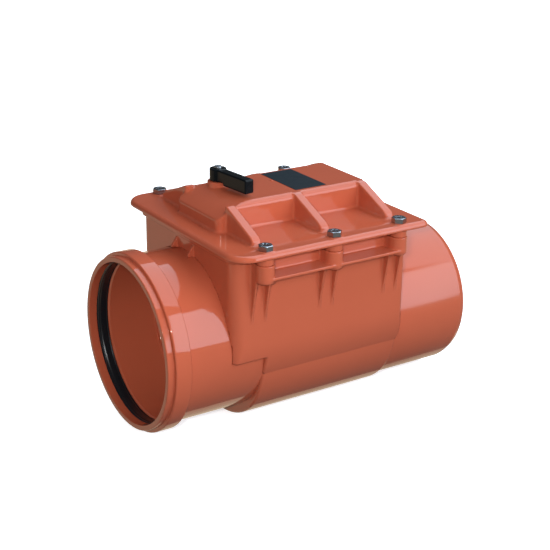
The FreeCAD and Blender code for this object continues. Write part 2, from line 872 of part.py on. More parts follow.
def hinge_bracket():
    """A saddle on the nozzle's pad, with the two ears that hold the hinge pin."""
    start = bracket_base_start
    pieces = [block(start, bracket_base_end, -ear_outer, ear_outer, pad_top, bracket_seat)]
    for side in (-1, 1):
        low = min(side * ear_inner, side * ear_outer)
        web = [
            Vector(start + bracket_web_setback, low, pad_top),
            Vector(bracket_base_end, low, pad_top),
            Vector(hinge_x, low, hinge_z - bracket_ear_radius),
            Vector(hinge_x, low, hinge_z + bracket_ear_radius),
            Vector(hinge_x - bracket_ear_radius, low, hinge_z + bracket_ear_radius),
        ]
        pieces.append(cylinder_y(bracket_ear_radius, low, low + bracket_ear_thickness, hinge_x, hinge_z))
        pieces.append(solid_from(web, Vector(0, bracket_ear_thickness, 0)))
    bracket = joined(pieces)
    bracket = bracket.cut(cylinder_y(hinge_pin_radius + running_gap, -far, far, hinge_x, hinge_z))
    for side in (-0.5, 0.5):
        bracket = bracket.cut(cylinder_z(bracket_screw_radius + screw_hole_clearance, pad_top - overcut,
                                         bracket_seat + overcut, bracket_screw_x,
                                         side * bracket_screw_spacing))
    return bracket.removeSplitter()


def bracket_screws():
    screws = []
    for side in (-0.5, 0.5):
        y = side * bracket_screw_spacing
        head = cylinder_z(bracket_screw_head_radius, bracket_seat, bracket_seat + bracket_screw_head_height,
                          bracket_screw_x, y)
        shank = cylinder_z(bracket_screw_radius, bracket_screw_bottom, bracket_seat, bracket_screw_x, y)
        screws.append(head.fuse(shank))
    return screws


def hinge_pin():
    """A headed pin with a groove for its clip at the other end."""
    groove_end = clip_groove + clip_thickness
    shank = cylinder_y(hinge_pin_radius, -ear_outer, groove_end + pin_head_height, hinge_x, hinge_z)
    head = cylinder_y(pin_head_radius, -ear_outer - pin_head_height, -ear_outer, hinge_x, hinge_z)
    waist = cylinder_y(hinge_pin_radius + overcut, clip_groove, groove_end, hinge_x, hinge_z)
    core = cylinder_y(pin_groove_radius, clip_groove, groove_end, hinge_x, hinge_z)
    return shank.cut(waist.cut(core)).fuse(head).removeSplitter()


def hinge_pin_clip():
    """The open spring clip in the pin's groove."""
    outer_radius = pin_groove_radius + clip_width
    groove_end = clip_groove + clip_thickness
    ring = cylinder_y(outer_radius, clip_groove, groove_end, hinge_x, hinge_z)
    ring = ring.cut(cylinder_y(pin_groove_radius, clip_groove - overcut, groove_end + overcut,
                               hinge_x, hinge_z))
    slot = block(hinge_x - clip_slot / 2, hinge_x + clip_slot / 2, clip_groove - overcut,
                 groove_end + overcut, hinge_z - outer_radius - overcut, hinge_z)
    return ring.cut(slot)


# Lock lever: handle, shaft and the finger that holds the flap shut


def turned_with_handle(shape):
    """Turns a shape that was made pointing along -Y by the handle's angle at rest."""
    shape.rotate(Vector(lever_x, lever_y, 0), Vector(0, 0, 1), handle_turn)
    return shape


def square_post(width, z0, z1):
    half = width / 2
    return block(lever_x - half, lever_x + half, lever_y - half, lever_y + half, z0, z1)


def lever_handle():
    half = handle_width / 2
    arm = block(lever_x - half, lever_x + half, lever_y - handle_length, lever_y, handle_bottom, handle_top)
    outer_edges = edges_where(arm, lambda edge: edge.BoundBox.YMin < lever_y - edge_search)
    arm = arm.makeFillet(handle_edge_round, outer_edges)
    hub = cylinder_z(handle_hub_radius, handle_bottom, hub_top, lever_x, lever_y)
    hub = hub.makeFillet(hub_edge_round, top_edges(hub, hub_top))
    handle = arm.fuse(hub).removeSplitter()
    handle = handle.cut(square_post(shaft_square + 2 * square_clearance, handle_bottom - overcut,
                                    handle_bottom + shaft_square_height))
    handle = handle.cut(cylinder_z(lever_screw_radius + screw_hole_clearance, handle_bottom,
                                   hub_top + overcut, lever_x, lever_y))
    return turned_with_handle(handle)


def lever_screw():
    head = cylinder_z(lever_screw_head_radius, hub_top, lever_screw_top, lever_x, lever_y)
    head = head.makeFillet(lever_screw_head_round, top_edges(head, lever_screw_top))
    for slot in cross_recess(lever_x, lever_y, lever_screw_top, lever_screw_recess_depth,
                             lever_screw_recess_arm, lever_screw_recess_width):
        head = head.cut(slot)
    shank = cylinder_z(lever_screw_radius, hub_top - lever_screw_length, hub_top, lever_x, lever_y)
    return turned_with_handle(head.fuse(shank))


def o_ring_heights():
    first = bearing_top - o_ring_first_drop
    return [first, first - o_ring_pitch]


def lock_shaft():
    """The turned shaft: square top for the handle, grooves for the rings and clip, slim lower end."""
    step = finger_top + handle_gap
    shaft = cylinder_z(shaft_radius, step, handle_bottom, lever_x, lever_y)
    shaft = shaft.fuse(cylinder_z(shaft_step_radius, finger_bottom, step, lever_x, lever_y))
    shaft = shaft.fuse(square_post(shaft_square, handle_bottom, square_top))
    for height in o_ring_heights():
        shaft = shaft.cut(tube_z(shaft_radius + overcut, shaft_radius - o_ring_depth, height,
                                 height + o_ring_width, lever_x, lever_y))
    shaft = shaft.cut(tube_z(shaft_radius + overcut, shaft_groove_radius, shaft_clip_bottom,
                             washer_bottom, lever_x, lever_y))
    shaft = shaft.cut(cylinder_z(lever_screw_radius + thread_clearance,
                                 hub_top - lever_screw_length - thread_clearance,
                                 square_top + overcut, lever_x, lever_y))
    shaft = shaft.cut(cylinder_x(roll_pin_radius + roll_pin_gap, lever_x - far, lever_x + far,
                                 lever_y, roll_pin_height))
    return turned_with_handle(shaft.removeSplitter())


def shaft_o_rings():
    return [tube_z(shaft_radius, shaft_radius - o_ring_depth, height, height + o_ring_width, lever_x, lever_y)
            for height in o_ring_heights()]


def thrust_washer():
    return tube_z(washer_radius, shaft_radius + running_gap, washer_bottom,
                  washer_bottom + washer_thickness, lever_x, lever_y)


def shaft_clip():
    ring = tube_z(shaft_groove_radius + clip_width, shaft_groove_radius, shaft_clip_bottom, washer_bottom,
                  lever_x, lever_y)
    slot = block(lever_x, lever_x + far, lever_y - clip_slot / 2, lever_y + clip_slot / 2,
                 shaft_clip_bottom - overcut, washer_bottom + overcut)
    return turned_with_handle(ring.cut(slot))


def lock_finger():
    """The arm under the cover that turns over the flap's toe and holds the flap shut."""
    half = finger_width / 2
    tip_y = lever_y + finger_reach - half
    hub = cylinder_z(finger_hub_radius, finger_bottom, finger_top, lever_x, lever_y)
    tip = cylinder_z(half, finger_bottom, finger_top, lever_x, tip_y)
    arm = block(lever_x - half, lever_x + half, lever_y, tip_y, finger_bottom, finger_top)
    finger = joined([hub, arm, tip])
    finger = finger.cut(cylinder_z(shaft_step_radius + square_clearance, finger_bottom - overcut,
                                   finger_top + overcut, lever_x, lever_y))
    finger = finger.cut(cylinder_x(roll_pin_radius + roll_pin_gap, lever_x - far, lever_x + far,
                                   lever_y, roll_pin_height))
    return turned_with_handle(finger)


def roll_pin():
    reach = finger_hub_radius - roll_pin_setback
    pin = cylinder_x(roll_pin_radius, lever_x - reach, lever_x + reach, lever_y, roll_pin_height)
    return turned_with_handle(pin)


save("chamber_housing", [chamber_housing()])
save("inlet_socket", [inlet_socket()])
save("outlet_spigot", [outlet_spigot()])
save("socket_seal", [socket_seal()])
save("cover", [cover()])
save("cover_gasket", [cover_gasket()])
save("blank_label", [blank_label()])
save("cover_screws", cover_screws())
save("threaded_inserts", threaded_inserts())
save("flap_disc", [flap_disc()])
save("flap_seal", [flap_seal()])
save("seal_retainer", [seal_retainer()])
save("retainer_screws", retainer_screws())
save("hinge_bushes", hinge_bushes())
save("hinge_bracket", [hinge_bracket()])
save("bracket_screws", bracket_screws())
save("hinge_pin", [hinge_pin()])
save("hinge_pin_clip", [hinge_pin_clip()])
save("lever_handle", [lever_handle()])
save("lever_screw", [lever_screw()])
save("lock_shaft", [lock_shaft()])
save("shaft_o_rings", shaft_o_rings())
save("thrust_washer", [thrust_washer()])
save("shaft_clip", [shaft_clip()])
save("lock_finger", [lock_finger()])
save("roll_pin", [roll_pin()])
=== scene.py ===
# %% [markdown]
# # Backwater valve in a 160 mm drain
#
# A backwater valve sits in the drain under a house. Water leaves through it, and a hinged
# flap shuts when the sewer pushes water back. The body is injection-moulded PVC in the
# orange-brown of buried drain pipe. Its parts are a chamber with a bolted inspection
# cover, a socket with a rubber ring for the inlet pipe, and a plain spigot for the outlet.
#
# This lesson builds the outside of the valve over its engineering model, which keeps the
# mechanism inside. X runs with the flow and Z is up. Sizes are in millimetres, apart from
# those of the camera, the floor and the lights, which are in metres.

# %% The frame
import json
import math

import bpy
import numpy as np
from mathutils import Matrix, Vector


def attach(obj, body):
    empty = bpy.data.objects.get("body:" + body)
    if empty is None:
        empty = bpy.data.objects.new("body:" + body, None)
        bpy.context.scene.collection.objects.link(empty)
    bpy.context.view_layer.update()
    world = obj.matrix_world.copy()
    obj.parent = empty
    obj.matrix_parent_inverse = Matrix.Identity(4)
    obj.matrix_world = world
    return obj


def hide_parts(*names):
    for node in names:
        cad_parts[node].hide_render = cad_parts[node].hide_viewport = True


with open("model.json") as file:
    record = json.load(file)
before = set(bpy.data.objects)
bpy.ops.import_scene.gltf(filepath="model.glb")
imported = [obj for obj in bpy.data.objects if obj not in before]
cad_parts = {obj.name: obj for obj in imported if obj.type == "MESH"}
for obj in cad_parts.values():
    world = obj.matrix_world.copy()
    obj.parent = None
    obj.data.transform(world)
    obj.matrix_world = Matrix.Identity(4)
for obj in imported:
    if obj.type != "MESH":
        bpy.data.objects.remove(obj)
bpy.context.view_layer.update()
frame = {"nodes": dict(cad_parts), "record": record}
nodes = frame["nodes"]
record = frame["record"]


def place_of(rows, name):
    """The place of a joint or mount of the engineering model, in millimetres."""
    row = next(row for row in rows if row["name"] == name)
    return [round(v * 1000.0, 3) for v in row["pos_m"]]


LEVER_X, LEVER_Y, LEVER_FOOT = place_of(record["behaviour"]["joints"], "lever_turn")
OUTLET_Z = place_of(record["mounts"], "outlet_spigot")[2]
print("Engineering nodes:", len(nodes))
print("Lever's axis:", LEVER_X, LEVER_Y, "height of the outlet's axis:", OUTLET_Z)


# %% [markdown]
# ## The camera
#
# The photo was taken from above the inlet's right side, with a long lens. A camera could be
# placed by eye, but the object's round pipe ends and square cover fix its place, turn and
# focal length. Those are used, so that the picture can be compared with the photo point by
# point.

# %% The camera
AZIMUTH = -33.48
ELEVATION = 21.03
ROLL = math.radians(0.85)
CAMERA_PLACE = Vector((-0.57628, -1.02133, 0.50846))
SENSOR_WIDTH = 36.0
PHOTO_WIDTH_IN_PIXELS = 550.0
FOCAL_LENGTH_IN_PIXELS = 1271.26


def direction(azimuth, elevation):
    """The unit vector that points this way from the valve. Azimuth 0 is its right side."""
    a = math.radians(azimuth)
    e = math.radians(elevation)
    return Vector((math.sin(a) * math.cos(e), -math.cos(a) * math.cos(e), math.sin(e)))


back = direction(AZIMUTH, ELEVATION)
level = direction(AZIMUTH + 90.0, 0.0)
upward = back.cross(level)
across = math.cos(ROLL) * level + math.sin(ROLL) * upward
tilted_up = math.cos(ROLL) * upward - math.sin(ROLL) * level
camera_data = bpy.data.cameras.new("camera")
camera_data.sensor_width = SENSOR_WIDTH
camera_data.lens = SENSOR_WIDTH * FOCAL_LENGTH_IN_PIXELS / PHOTO_WIDTH_IN_PIXELS
camera_data.clip_end = 50.0
camera = bpy.data.objects.new("camera", camera_data)
bpy.context.scene.collection.objects.link(camera)
turn = Matrix((across, tilted_up, back)).transposed().to_4x4()
camera.matrix_world = Matrix.Translation(CAMERA_PLACE) @ turn
bpy.context.scene.camera = camera
print("Lens, mm:", round(camera_data.lens, 2))


# %% [markdown]
# ## Materials
#
# Each finish is worked out in the object's own coordinates. A picture wrapped round the
# piece would also do, but it would have to be drawn first, while noise in space needs no
# seams and stays put when a piece moves. `Value` wraps a node's output: sums written in
# the usual way become Math nodes. `Finish` makes one material, and its `add` sets up every
# other node.

# %% Sums of sockets
class Value:
    """A node's output that can be used in sums."""

    def __init__(self, finish, socket):
        self.finish = finish
        self.socket = socket

    def sum(self, operation, first, second):
        node = self.finish.tree.nodes.new("ShaderNodeMath")
        node.operation = operation
        self.finish.feed(node.inputs[0], first)
        self.finish.feed(node.inputs[1], second)
        return Value(self.finish, node.outputs[0])

    def __add__(self, other):
        return self.sum("ADD", self, other)

    __radd__ = __add__

    def __mul__(self, other):
        return self.sum("MULTIPLY", self, other)

    __rmul__ = __mul__

    def __sub__(self, other):
        return self.sum("SUBTRACT", self, other)

    def __rsub__(self, other):
        return self.sum("SUBTRACT", other, self)

    def __gt__(self, other):
        return self.sum("GREATER_THAN", self, other)


# %% One material
class Finish:
    """One material with a Principled surface."""

    def __init__(self, name):
        self.material = bpy.data.materials.new(name)
        self.material.use_nodes = True
        self.tree = self.material.node_tree
        self.tree.nodes.clear()
        self.output = self.tree.nodes.new("ShaderNodeOutputMaterial")
        self.place = self.add("ShaderNodeTexCoord", {}, {}).outputs["Object"]

    def feed(self, socket, value):
        if isinstance(value, Value):
            value = value.socket
        if isinstance(value, bpy.types.NodeSocket):
            self.tree.links.new(value, socket)
        else:
            socket.default_value = value

    def add(self, kind, settings, inputs):
        """Any node, with its settings first and then its inputs."""
        node = self.tree.nodes.new(kind)
        for name, value in settings.items():
            setattr(node, name, value)
        for name, value in inputs.items():
            self.feed(node.inputs[name], value)
        return node

    def grain(self, size, detail=2.0):
        """A noise from 0 to 1 whose patches are about this many millimetres wide."""
        node = self.add("ShaderNodeTexNoise", {},
                        {"Vector": self.place, "Scale": 1000.0 / size, "Detail": detail})
        return Value(self, node.outputs["Fac"])

    def blend(self, share, first, second):
        """The first colour where the share is 0, the second where it is 1."""
        node = self.add("ShaderNodeMix", {"data_type": "RGBA"}, {})
        self.feed(node.inputs[0], share)
        self.feed(node.inputs[6], first)
        self.feed(node.inputs[7], second)
        return node.outputs[2]

    def bump(self, height, depth, strength):
        """Surface relief this many millimetres deep."""
        node = self.add("ShaderNodeBump", {},
                        {"Height": height, "Distance": depth / 1000.0, "Strength": strength})
        return node.outputs["Normal"]

    def surface(self, inputs):
        node = self.add("ShaderNodeBsdfPrincipled", {}, inputs)
        self.tree.links.new(node.outputs[0], self.output.inputs[0])
        return self.material


# %% [markdown]
# The moulded PVC is glossy. Its colour drifts a little with the melt's flow, and the skin
# has faint waves from cooling, which bend the edges of reflections. The plain pipe end is
# extruded, so its skin is a little duller. The waves could be modelled, but they are less
# than a tenth of a millimetre deep, so a bump does it. Metals get fine scratches in the
# same way.

# %% Plastics and metals
def moulded(name, colour, deep_colour, roughness, shine_level=0.5):
    finish = Finish(name)
    drift = finish.grain(60.0)
    speckle = finish.grain(1.2)
    waves = finish.grain(22.0, 1.0)
    colour_now = finish.blend(drift, deep_colour, colour)
    shine = roughness + 0.03 * speckle
    relief = finish.bump(waves + 0.04 * speckle, 0.35, 0.25)
    return finish.surface({"Base Color": colour_now, "Roughness": shine, "Normal": relief,
                           "IOR": 1.5, "Specular IOR Level": shine_level})


def metal(name, colour, dark_colour, roughness):
    finish = Finish(name)
    patches = finish.grain(3.0)
    scratches = finish.grain(0.4)
    colour_now = finish.blend(patches, dark_colour, colour)
    return finish.surface({"Base Color": colour_now, "Metallic": 1.0,
                           "Roughness": roughness + 0.15 * scratches,
                           "Normal": finish.bump(scratches, 0.02, 0.3)})


ORANGE = (0.53, 0.112, 0.054, 1)
pvc = moulded("body_pvc", ORANGE, (0.49, 0.1, 0.048, 1), 0.045)
pipe_pvc = moulded("pipe_pvc", ORANGE, (0.48, 0.098, 0.047, 1), 0.13)
flap_pvc = moulded("flap_pvc", (0.47, 0.11, 0.055, 1), (0.42, 0.09, 0.045, 1), 0.2)
lever_plastic = moulded("lever_plastic", (0.004, 0.006, 0.008, 1), (0.003, 0.004, 0.005, 1),
                        0.18, shine_level=0.15)
bearing_plastic = moulded("bearing_plastic", (0.75, 0.75, 0.7, 1), (0.68, 0.68, 0.63, 1), 0.35)
zinc = metal("zinc_steel", (0.5, 0.53, 0.57, 1), (0.32, 0.35, 0.39, 1), 0.12)
stainless = metal("stainless_steel", (0.62, 0.62, 0.62, 1), (0.52, 0.52, 0.53, 1), 0.25)
brass = metal("insert_brass", (0.72, 0.5, 0.2, 1), (0.6, 0.4, 0.16, 1), 0.25)
print("Plastics and metals:", len(bpy.data.materials))


# %% [markdown]
# Rubber is nearly black with a soft sheen. The label is a dark film with a fine grain. A
# plain black would look like a hole in the picture, so both keep a grain in colour and
# relief.

# %% Rubber and label film
def rubber_finish():
    finish = Finish("seal_rubber")
    grain = finish.grain(1.5)
    tone = finish.blend(grain, (0.006, 0.007, 0.009, 1), (0.014, 0.015, 0.018, 1))
    return finish.surface({"Base Color": tone, "Roughness": 0.24 + 0.12 * grain,
                           "Normal": finish.bump(grain, 0.03, 0.3),
                           "Specular IOR Level": 0.4})


def label_finish():
    finish = Finish("label_film")
    grain = finish.grain(0.9, 3.0)
    weave = finish.grain(7.0)
    tone = finish.blend(grain, (0.006, 0.011, 0.015, 1), (0.022, 0.034, 0.043, 1))
    return finish.surface({"Base Color": tone, "Roughness": 0.36 + 0.12 * weave,
                           "Normal": finish.bump(grain, 0.03, 0.5),
                           "Specular IOR Level": 0.12})


rubber = rubber_finish()
label_film = label_finish()
print("All materials:", len(bpy.data.materials))


# %% [markdown]
# ## Hidden nodes
#
# The flap, its hinge and the lock's shaft are inside the chamber. They could be built again
# with softer edges, but they show only through the socket or with the cover lifted off.
# So they keep their engineering shapes and only take their finishes here.

# %% Finishes for the nodes that stay
finishes = {"body_pvc": pvc, "flap_pvc": flap_pvc, "lever_plastic": lever_plastic,
            "bearing_plastic": bearing_plastic, "zinc_steel": zinc,
            "stainless_steel": stainless, "insert_brass": brass, "seal_rubber": rubber,
            "label_film": label_film}
for row in record["subparts"]:
    mesh = nodes[row["node"]].data
    mesh.materials.clear()
    mesh.materials.append(finishes[row["material_slot"]])
print("Nodes with a finish:", len(record["subparts"]))


# %% [markdown]
# ## How the moulded shells are made
#
# A moulding has no sharp edges. Solids could be joined with Booleans and then bevelled, but
# a bevel breaks where many small edges meet, as at these ribs. So each shell is written as
# a distance field: a function that is negative inside the plastic. Rounded joins and cuts
# of simple fields give the fillets.

# %% Joining and cutting fields
def cut_round(a, b, radius):
    """What is inside both fields, with a rounded edge where they meet."""
    over = np.hypot(np.maximum(a + radius, 0.0), np.maximum(b + radius, 0.0))
    return np.minimum(np.maximum(a, b), -radius) + over


def join_round(a, b, radius):
    """What is inside either field, with a fillet where they meet."""
    under = np.hypot(np.maximum(radius - a, 0.0), np.maximum(radius - b, 0.0))
    return np.maximum(np.minimum(a, b), radius) - under


# %% Simple fields
def slab(v, low, high):
    return np.maximum(low - v, v - high)


def incline(u, v, u_part, v_part):
    """A sloping plane through u = v = 0. It faces along the direction of the two parts."""
    return (u * u_part + v * v_part) / math.hypot(u_part, v_part)


def plan(x, y, x0, x1, half, front_corner, rear_corner):
    """An upright block seen from above, with rounded corners."""
    middle = (x0 + x1) / 2
    corner = np.where(x < middle, front_corner, rear_corner)
    out_x = np.abs(x - middle) - (x1 - x0) / 2 + corner
    out_y = np.abs(y) - half + corner
    inner = np.minimum(np.maximum(out_x, out_y), 0.0)
    return np.hypot(np.maximum(out_x, 0.0), np.maximum(out_y, 0.0)) + inner - corner


def post(x, y, centre_x, centre_y, radius):
    return np.hypot(x - centre_x, y - centre_y) - radius


# %% [markdown]
# The mesh comes from laying a grid over the field, putting one corner in each grid cell
# that the surface passes, and pulling these corners on to the surface. A remesh modifier
# would also find the surface, but this grid can be fine at the ribs and coarse on the flat
# walls, and the field's own gradient gives the shading normals.

# %% The grid and the surface's slope
def graded(low, high, coarse, fine, bands):
    """Grid lines from low to high, closer together inside the bands."""
    lines = [low]
    while lines[-1] < high:
        close = any(start <= lines[-1] < end for start, end in bands)
        lines.append(lines[-1] + (fine if close else coarse))
    return np.array(lines)


def even(low, high, step):
    return graded(low, high, step, step, [])


def slope_of(field, spots):
    """The field's value and gradient at each spot."""
    step = 0.02
    parts = []
    for axis in range(3):
        shift = np.zeros(3)
        shift[axis] = step
        ahead = field(*(spots + shift).T)
        behind = field(*(spots - shift).T)
        parts.append((ahead - behind) / (2 * step))
    return field(*spots.T), np.stack(parts, axis=1)


# %% Corners and faces
def corners_and_quads(field, lines):
    """One corner in each cell that the surface passes, and a quad round each crossed grid line."""
    values = field(lines[0][:, None, None], lines[1][None, :, None], lines[2][None, None, :])
    cells = tuple(len(line) - 1 for line in lines)
    total = np.zeros((np.prod(cells), 3))
    count = np.zeros(np.prod(cells))
    quads = []
    for axis in range(3):
        low = np.delete(values, -1, axis=axis)
        high = np.delete(values, 0, axis=axis)
        index = np.nonzero((low < 0) != (high < 0))
        share = low[index] / (low[index] - high[index])
        spots = np.stack([lines[n][index[n]] for n in range(3)], axis=1)
        step = lines[axis][index[axis] + 1] - lines[axis][index[axis]]
        spots[:, axis] += share * step
        ring = []
        for first, second in ((0, 0), (-1, 0), (-1, -1), (0, -1)):
            cell = [index[0].copy(), index[1].copy(), index[2].copy()]
            cell[(axis + 1) % 3] += first
            cell[(axis + 2) % 3] += second
            flat = np.ravel_multi_index(cell, cells)
            count += np.bincount(flat, minlength=len(count))
            for n in range(3):
                total[:, n] += np.bincount(flat, weights=spots[:, n], minlength=len(count))
            ring.append(flat)
        ring = np.stack(ring, axis=1)
        outward = low[index] < 0
        quads.append(np.where(outward[:, None], ring, ring[:, ::-1]))
    quads = np.concatenate(quads)
    used = np.unique(quads)
    return total[used] / count[used][:, None], np.searchsorted(used, quads)


# %% From a field to an object
def mesh_object(name, corners, faces, material, normals=None):
    """A closed mesh from corners in millimetres."""
    mesh = bpy.data.meshes.new(name)
    mesh.from_pydata((np.asarray(corners) / 1000.0).tolist(), [], np.asarray(faces).tolist())
    mesh.materials.append(material)
    mesh.polygons.foreach_set("use_smooth", [True] * len(mesh.polygons))
    if normals is not None:
        mesh.normals_split_custom_set_from_vertices(normals.tolist())
    made = bpy.data.objects.new(name, mesh)
    bpy.context.scene.collection.objects.link(made)
    return made


def shell(name, field, lines, material):
    """The mesh of a field, with the field's own gradient as its shading normals."""
    spots, quads = corners_and_quads(field, lines)
    for _ in range(4):
        value, slope = slope_of(field, spots)
        steepness = np.maximum((slope ** 2).sum(axis=1), 0.2)
        move = np.clip(value / steepness, -0.8, 0.8)
        spots = spots - slope * move[:, None]
    value, slope = slope_of(field, spots)
    normals = slope / np.maximum(np.linalg.norm(slope, axis=1), 1e-6)[:, None]
    made = mesh_object(name, spots, quads, material, normals)
    print(name, "faces:", len(quads), "largest miss, mm:", round(float(np.abs(value).max()), 3))
    return made


# %% [markdown]
# ## The chamber housing
#
# The housing is one moulding: an open box with a flat front wall and sides that curve in
# below, and at the back a round belly that runs on into the outlet. The box and the belly
# could be two meshes pushed into each other. As fields they share one wall and one hollow,
# so the shell stays closed.

# %% The chamber's walls
WALL = 4.5
FRONT = -6.5
REAR = 196.0
HALF_WIDTH = 91.0
FRONT_CORNER = 13.0
REAR_CORNER = 5.0
BOX_BOTTOM = -25.0
CURVE_START = 12.0
SIDE_CURVE = 87.0
INNER_CURVE = 75.5
BELLY_FRONT = 31.8
BELLY_RADIUS = 83.0
FRONT_WALL_BOTTOM = -6.0
RIM_STEP = 3.5
RIM_BOTTOM = 98.0
RIM_TOP = 103.0


def curved_sides(y, z, half, curve):
    """Upright sides that curve inward below CURVE_START."""
    over = np.maximum(np.abs(y) - half + curve, 0.0)
    return np.hypot(over, np.minimum(z - CURVE_START, 0.0)) - curve


def chamber_outside(x, y, z):
    box = plan(x, y, FRONT, REAR, HALF_WIDTH, FRONT_CORNER, REAR_CORNER)
    box = cut_round(box, z - RIM_TOP + 1.0, 0.5)
    box = np.maximum(np.maximum(box, curved_sides(y, z, HALF_WIDTH, SIDE_CURVE)),
                     BOX_BOTTOM - z)
    box = cut_round(box, np.minimum(BELLY_FRONT - x, FRONT_WALL_BOTTOM - z), 2.5)
    belly = np.hypot(y, z - OUTLET_Z) - BELLY_RADIUS
    belly = cut_round(belly, slab(x, BELLY_FRONT, REAR), 2.6)
    rim = plan(x, y, FRONT - RIM_STEP, REAR + RIM_STEP, HALF_WIDTH + RIM_STEP,
               FRONT_CORNER + RIM_STEP, REAR_CORNER + RIM_STEP)
    rim = cut_round(rim, slab(z, RIM_BOTTOM, RIM_TOP), 1.0)
    return join_round(join_round(box, belly, 0.3), rim, 1.0)


def chamber_inside(x, y, z):
    half = HALF_WIDTH - WALL
    box = plan(x, y, FRONT + WALL, REAR - WALL, half, FRONT_CORNER - WALL, 1.0)
    box = np.maximum(np.maximum(box, BOX_BOTTOM - z), curved_sides(y, z, half, INNER_CURVE))
    box = np.maximum(box, np.minimum(BELLY_FRONT + WALL - x,
                                     FRONT_WALL_BOTTOM + WALL - z))
    belly = np.hypot(y, z - OUTLET_Z) - BELLY_RADIUS + WALL
    return np.minimum(box, np.maximum(belly, BELLY_FRONT + WALL - x))


# %% [markdown]
# Six bosses stand along the rim for the cover's screws. Each sits between two tapered ribs,
# and a thin ledge ties the bosses together. Two small gussets stiffen the front wall over
# the socket. Six copies of one boss would do, but folding space does it in one go: the
# distance to the nearest screw and the distance from the middle plane stand for X and Y.

# %% Bosses, ribs, ledges and gussets
SCREW_X = (21.0, 98.7, 176.4)
SCREW_Y = 101.8
BOSS_RADIUS = 9.0
BOSS_BOTTOM = 78.7
BOSS_TOP = 97.5
BRIDGE_BOTTOM = 81.7
BRIDGE_HALF = 5.4
BOSS_ROOT = HALF_WIDTH - 3.0
RIB_TOE = 35.0
RIB_REACH = 9.0
RIB_OFFSET = 7.5
RIB_HALF = 1.25
LEDGE_REACH = 110.6
LEDGE_BOTTOM = 82.2
LEDGE_TOP = 85.4
GUSSET_TOP = 94.0
GUSSET_TIP = 85.0
GUSSET_BOTTOM = 76.0
GUSSET_FRONT = -13.5
GUSSET_REAR = -4.0
GUSSET_Y = 16.0
GUSSET_HALF = 1.5


def near_screw(x):
    """The distance along X from the nearest screw."""
    return np.minimum(np.minimum(np.abs(x - SCREW_X[0]), np.abs(x - SCREW_X[1])),
                      np.abs(x - SCREW_X[2]))


def boss_field(x, y, z):
    """The six bosses with their bridges and tapered ribs."""
    along = near_screw(x)
    side = np.abs(y)
    round_part = np.hypot(along, side - SCREW_Y) - BOSS_RADIUS
    round_part = cut_round(cut_round(round_part, BOSS_BOTTOM - z, 3.0), z - BOSS_TOP, 1.0)
    upper = slab(z, BRIDGE_BOTTOM, BOSS_TOP)
    bridge = np.maximum(along - BRIDGE_HALF, slab(side, BOSS_ROOT, SCREW_Y))
    bridge = np.maximum(bridge, upper)
    taper = incline(side - HALF_WIDTH, z - RIB_TOE, BOSS_BOTTOM - RIB_TOE, -RIB_REACH)
    low_rib = cut_round(side - HALF_WIDTH - RIB_REACH, taper, 0.8)
    low_rib = np.maximum(low_rib, slab(z, RIB_TOE, BOSS_TOP - 1.0))
    rib = np.minimum(low_rib, np.maximum(side - SCREW_Y, upper))
    rib = np.maximum(rib, BOSS_ROOT - side)
    rib = cut_round(rib, np.abs(along - RIB_OFFSET) - RIB_HALF, 0.6)
    return join_round(np.minimum(round_part, bridge), rib, 0.8)


def ledge_field(x, y, z):
    flat = np.maximum(slab(x, SCREW_X[0], SCREW_X[2]), slab(np.abs(y), BOSS_ROOT, LEDGE_REACH))
    return cut_round(flat, slab(z, LEDGE_BOTTOM, LEDGE_TOP), 0.8)


def gusset_field(x, y, z):
    """The two small triangular ribs over the socket."""
    slope = incline(z - GUSSET_TIP, x - GUSSET_FRONT, 6.0, -9.0)
    side_view = np.maximum(np.maximum(slope, z - GUSSET_TOP), slab(x, GUSSET_FRONT, GUSSET_REAR))
    side_view = np.maximum(side_view, GUSSET_BOTTOM - z)
    return cut_round(side_view, np.abs(np.abs(y) - GUSSET_Y) - GUSSET_HALF, 0.5)


# %% The housing
SOCKET_RADIUS = 84.9
SOCKET_PLAY = 0.05
PAD_PLAY = 0.2
INSERT_RADIUS = 5.65
INSERT_BOTTOM = 84.5


def housing_field(x, y, z):
    body = cut_round(chamber_outside(x, y, z), -chamber_inside(x, y, z), 0.7)
    body = join_round(body, gusset_field(x, y, z), 1.0)
    opening = np.hypot(y, z) - SOCKET_RADIUS - SOCKET_PLAY + np.clip(x, 0.0, 3.0)
    opening = np.maximum(opening, x - BELLY_FRONT - WALL)
    body = cut_round(body, -opening, 0.4)
    body = join_round(body, boss_field(x, y, z), 1.5)
    body = join_round(body, ledge_field(x, y, z), 1.0)
    beside = np.hypot(near_screw(x), np.abs(y) - SCREW_Y)
    body = cut_round(body, -np.maximum(beside - BOSS_RADIUS + PAD_PLAY, BOSS_TOP - z), 0.4)
    return np.maximum(body, -np.maximum(beside - INSERT_RADIUS, INSERT_BOTTOM - z))


screw_bands = [(spot - 13.0, spot + 13.0) for spot in SCREW_X]
edge_bands = [(-16.0, -4.0), (34.0, 38.0), (192.0, 197.5)]
gusset_bands = [(-19.0, -13.0), (13.0, 19.0)]
housing_lines = (graded(-16.0, 202.0, 2.3, 1.25, screw_bands + edge_bands),
                 graded(-114.0, 114.0, 2.3, 1.25, [(-114.0, -84.0), *gusset_bands, (84.0, 114.0)]),
                 graded(-99.0, 106.0, 2.3, 1.25, [(-29.0, -21.0), (-9.0, -3.0), (76.0, 106.0)]))
housing = shell("chamber_housing_shell", housing_field, housing_lines, pvc)
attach(housing, "valve_body")
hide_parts("chamber_housing")


# %% [markdown]
# ## The inspection cover
#
# The cover is moulded too, as a flat flange with a raised middle that stiffens it. Six
# ribs slope from the raised middle's top edge to the screws, and a short boss carries the
# lock lever's shaft. Lifting the cover gives access to the flap. It is a field like the
# housing, because its look comes from the soft fillets at the ribs' feet.

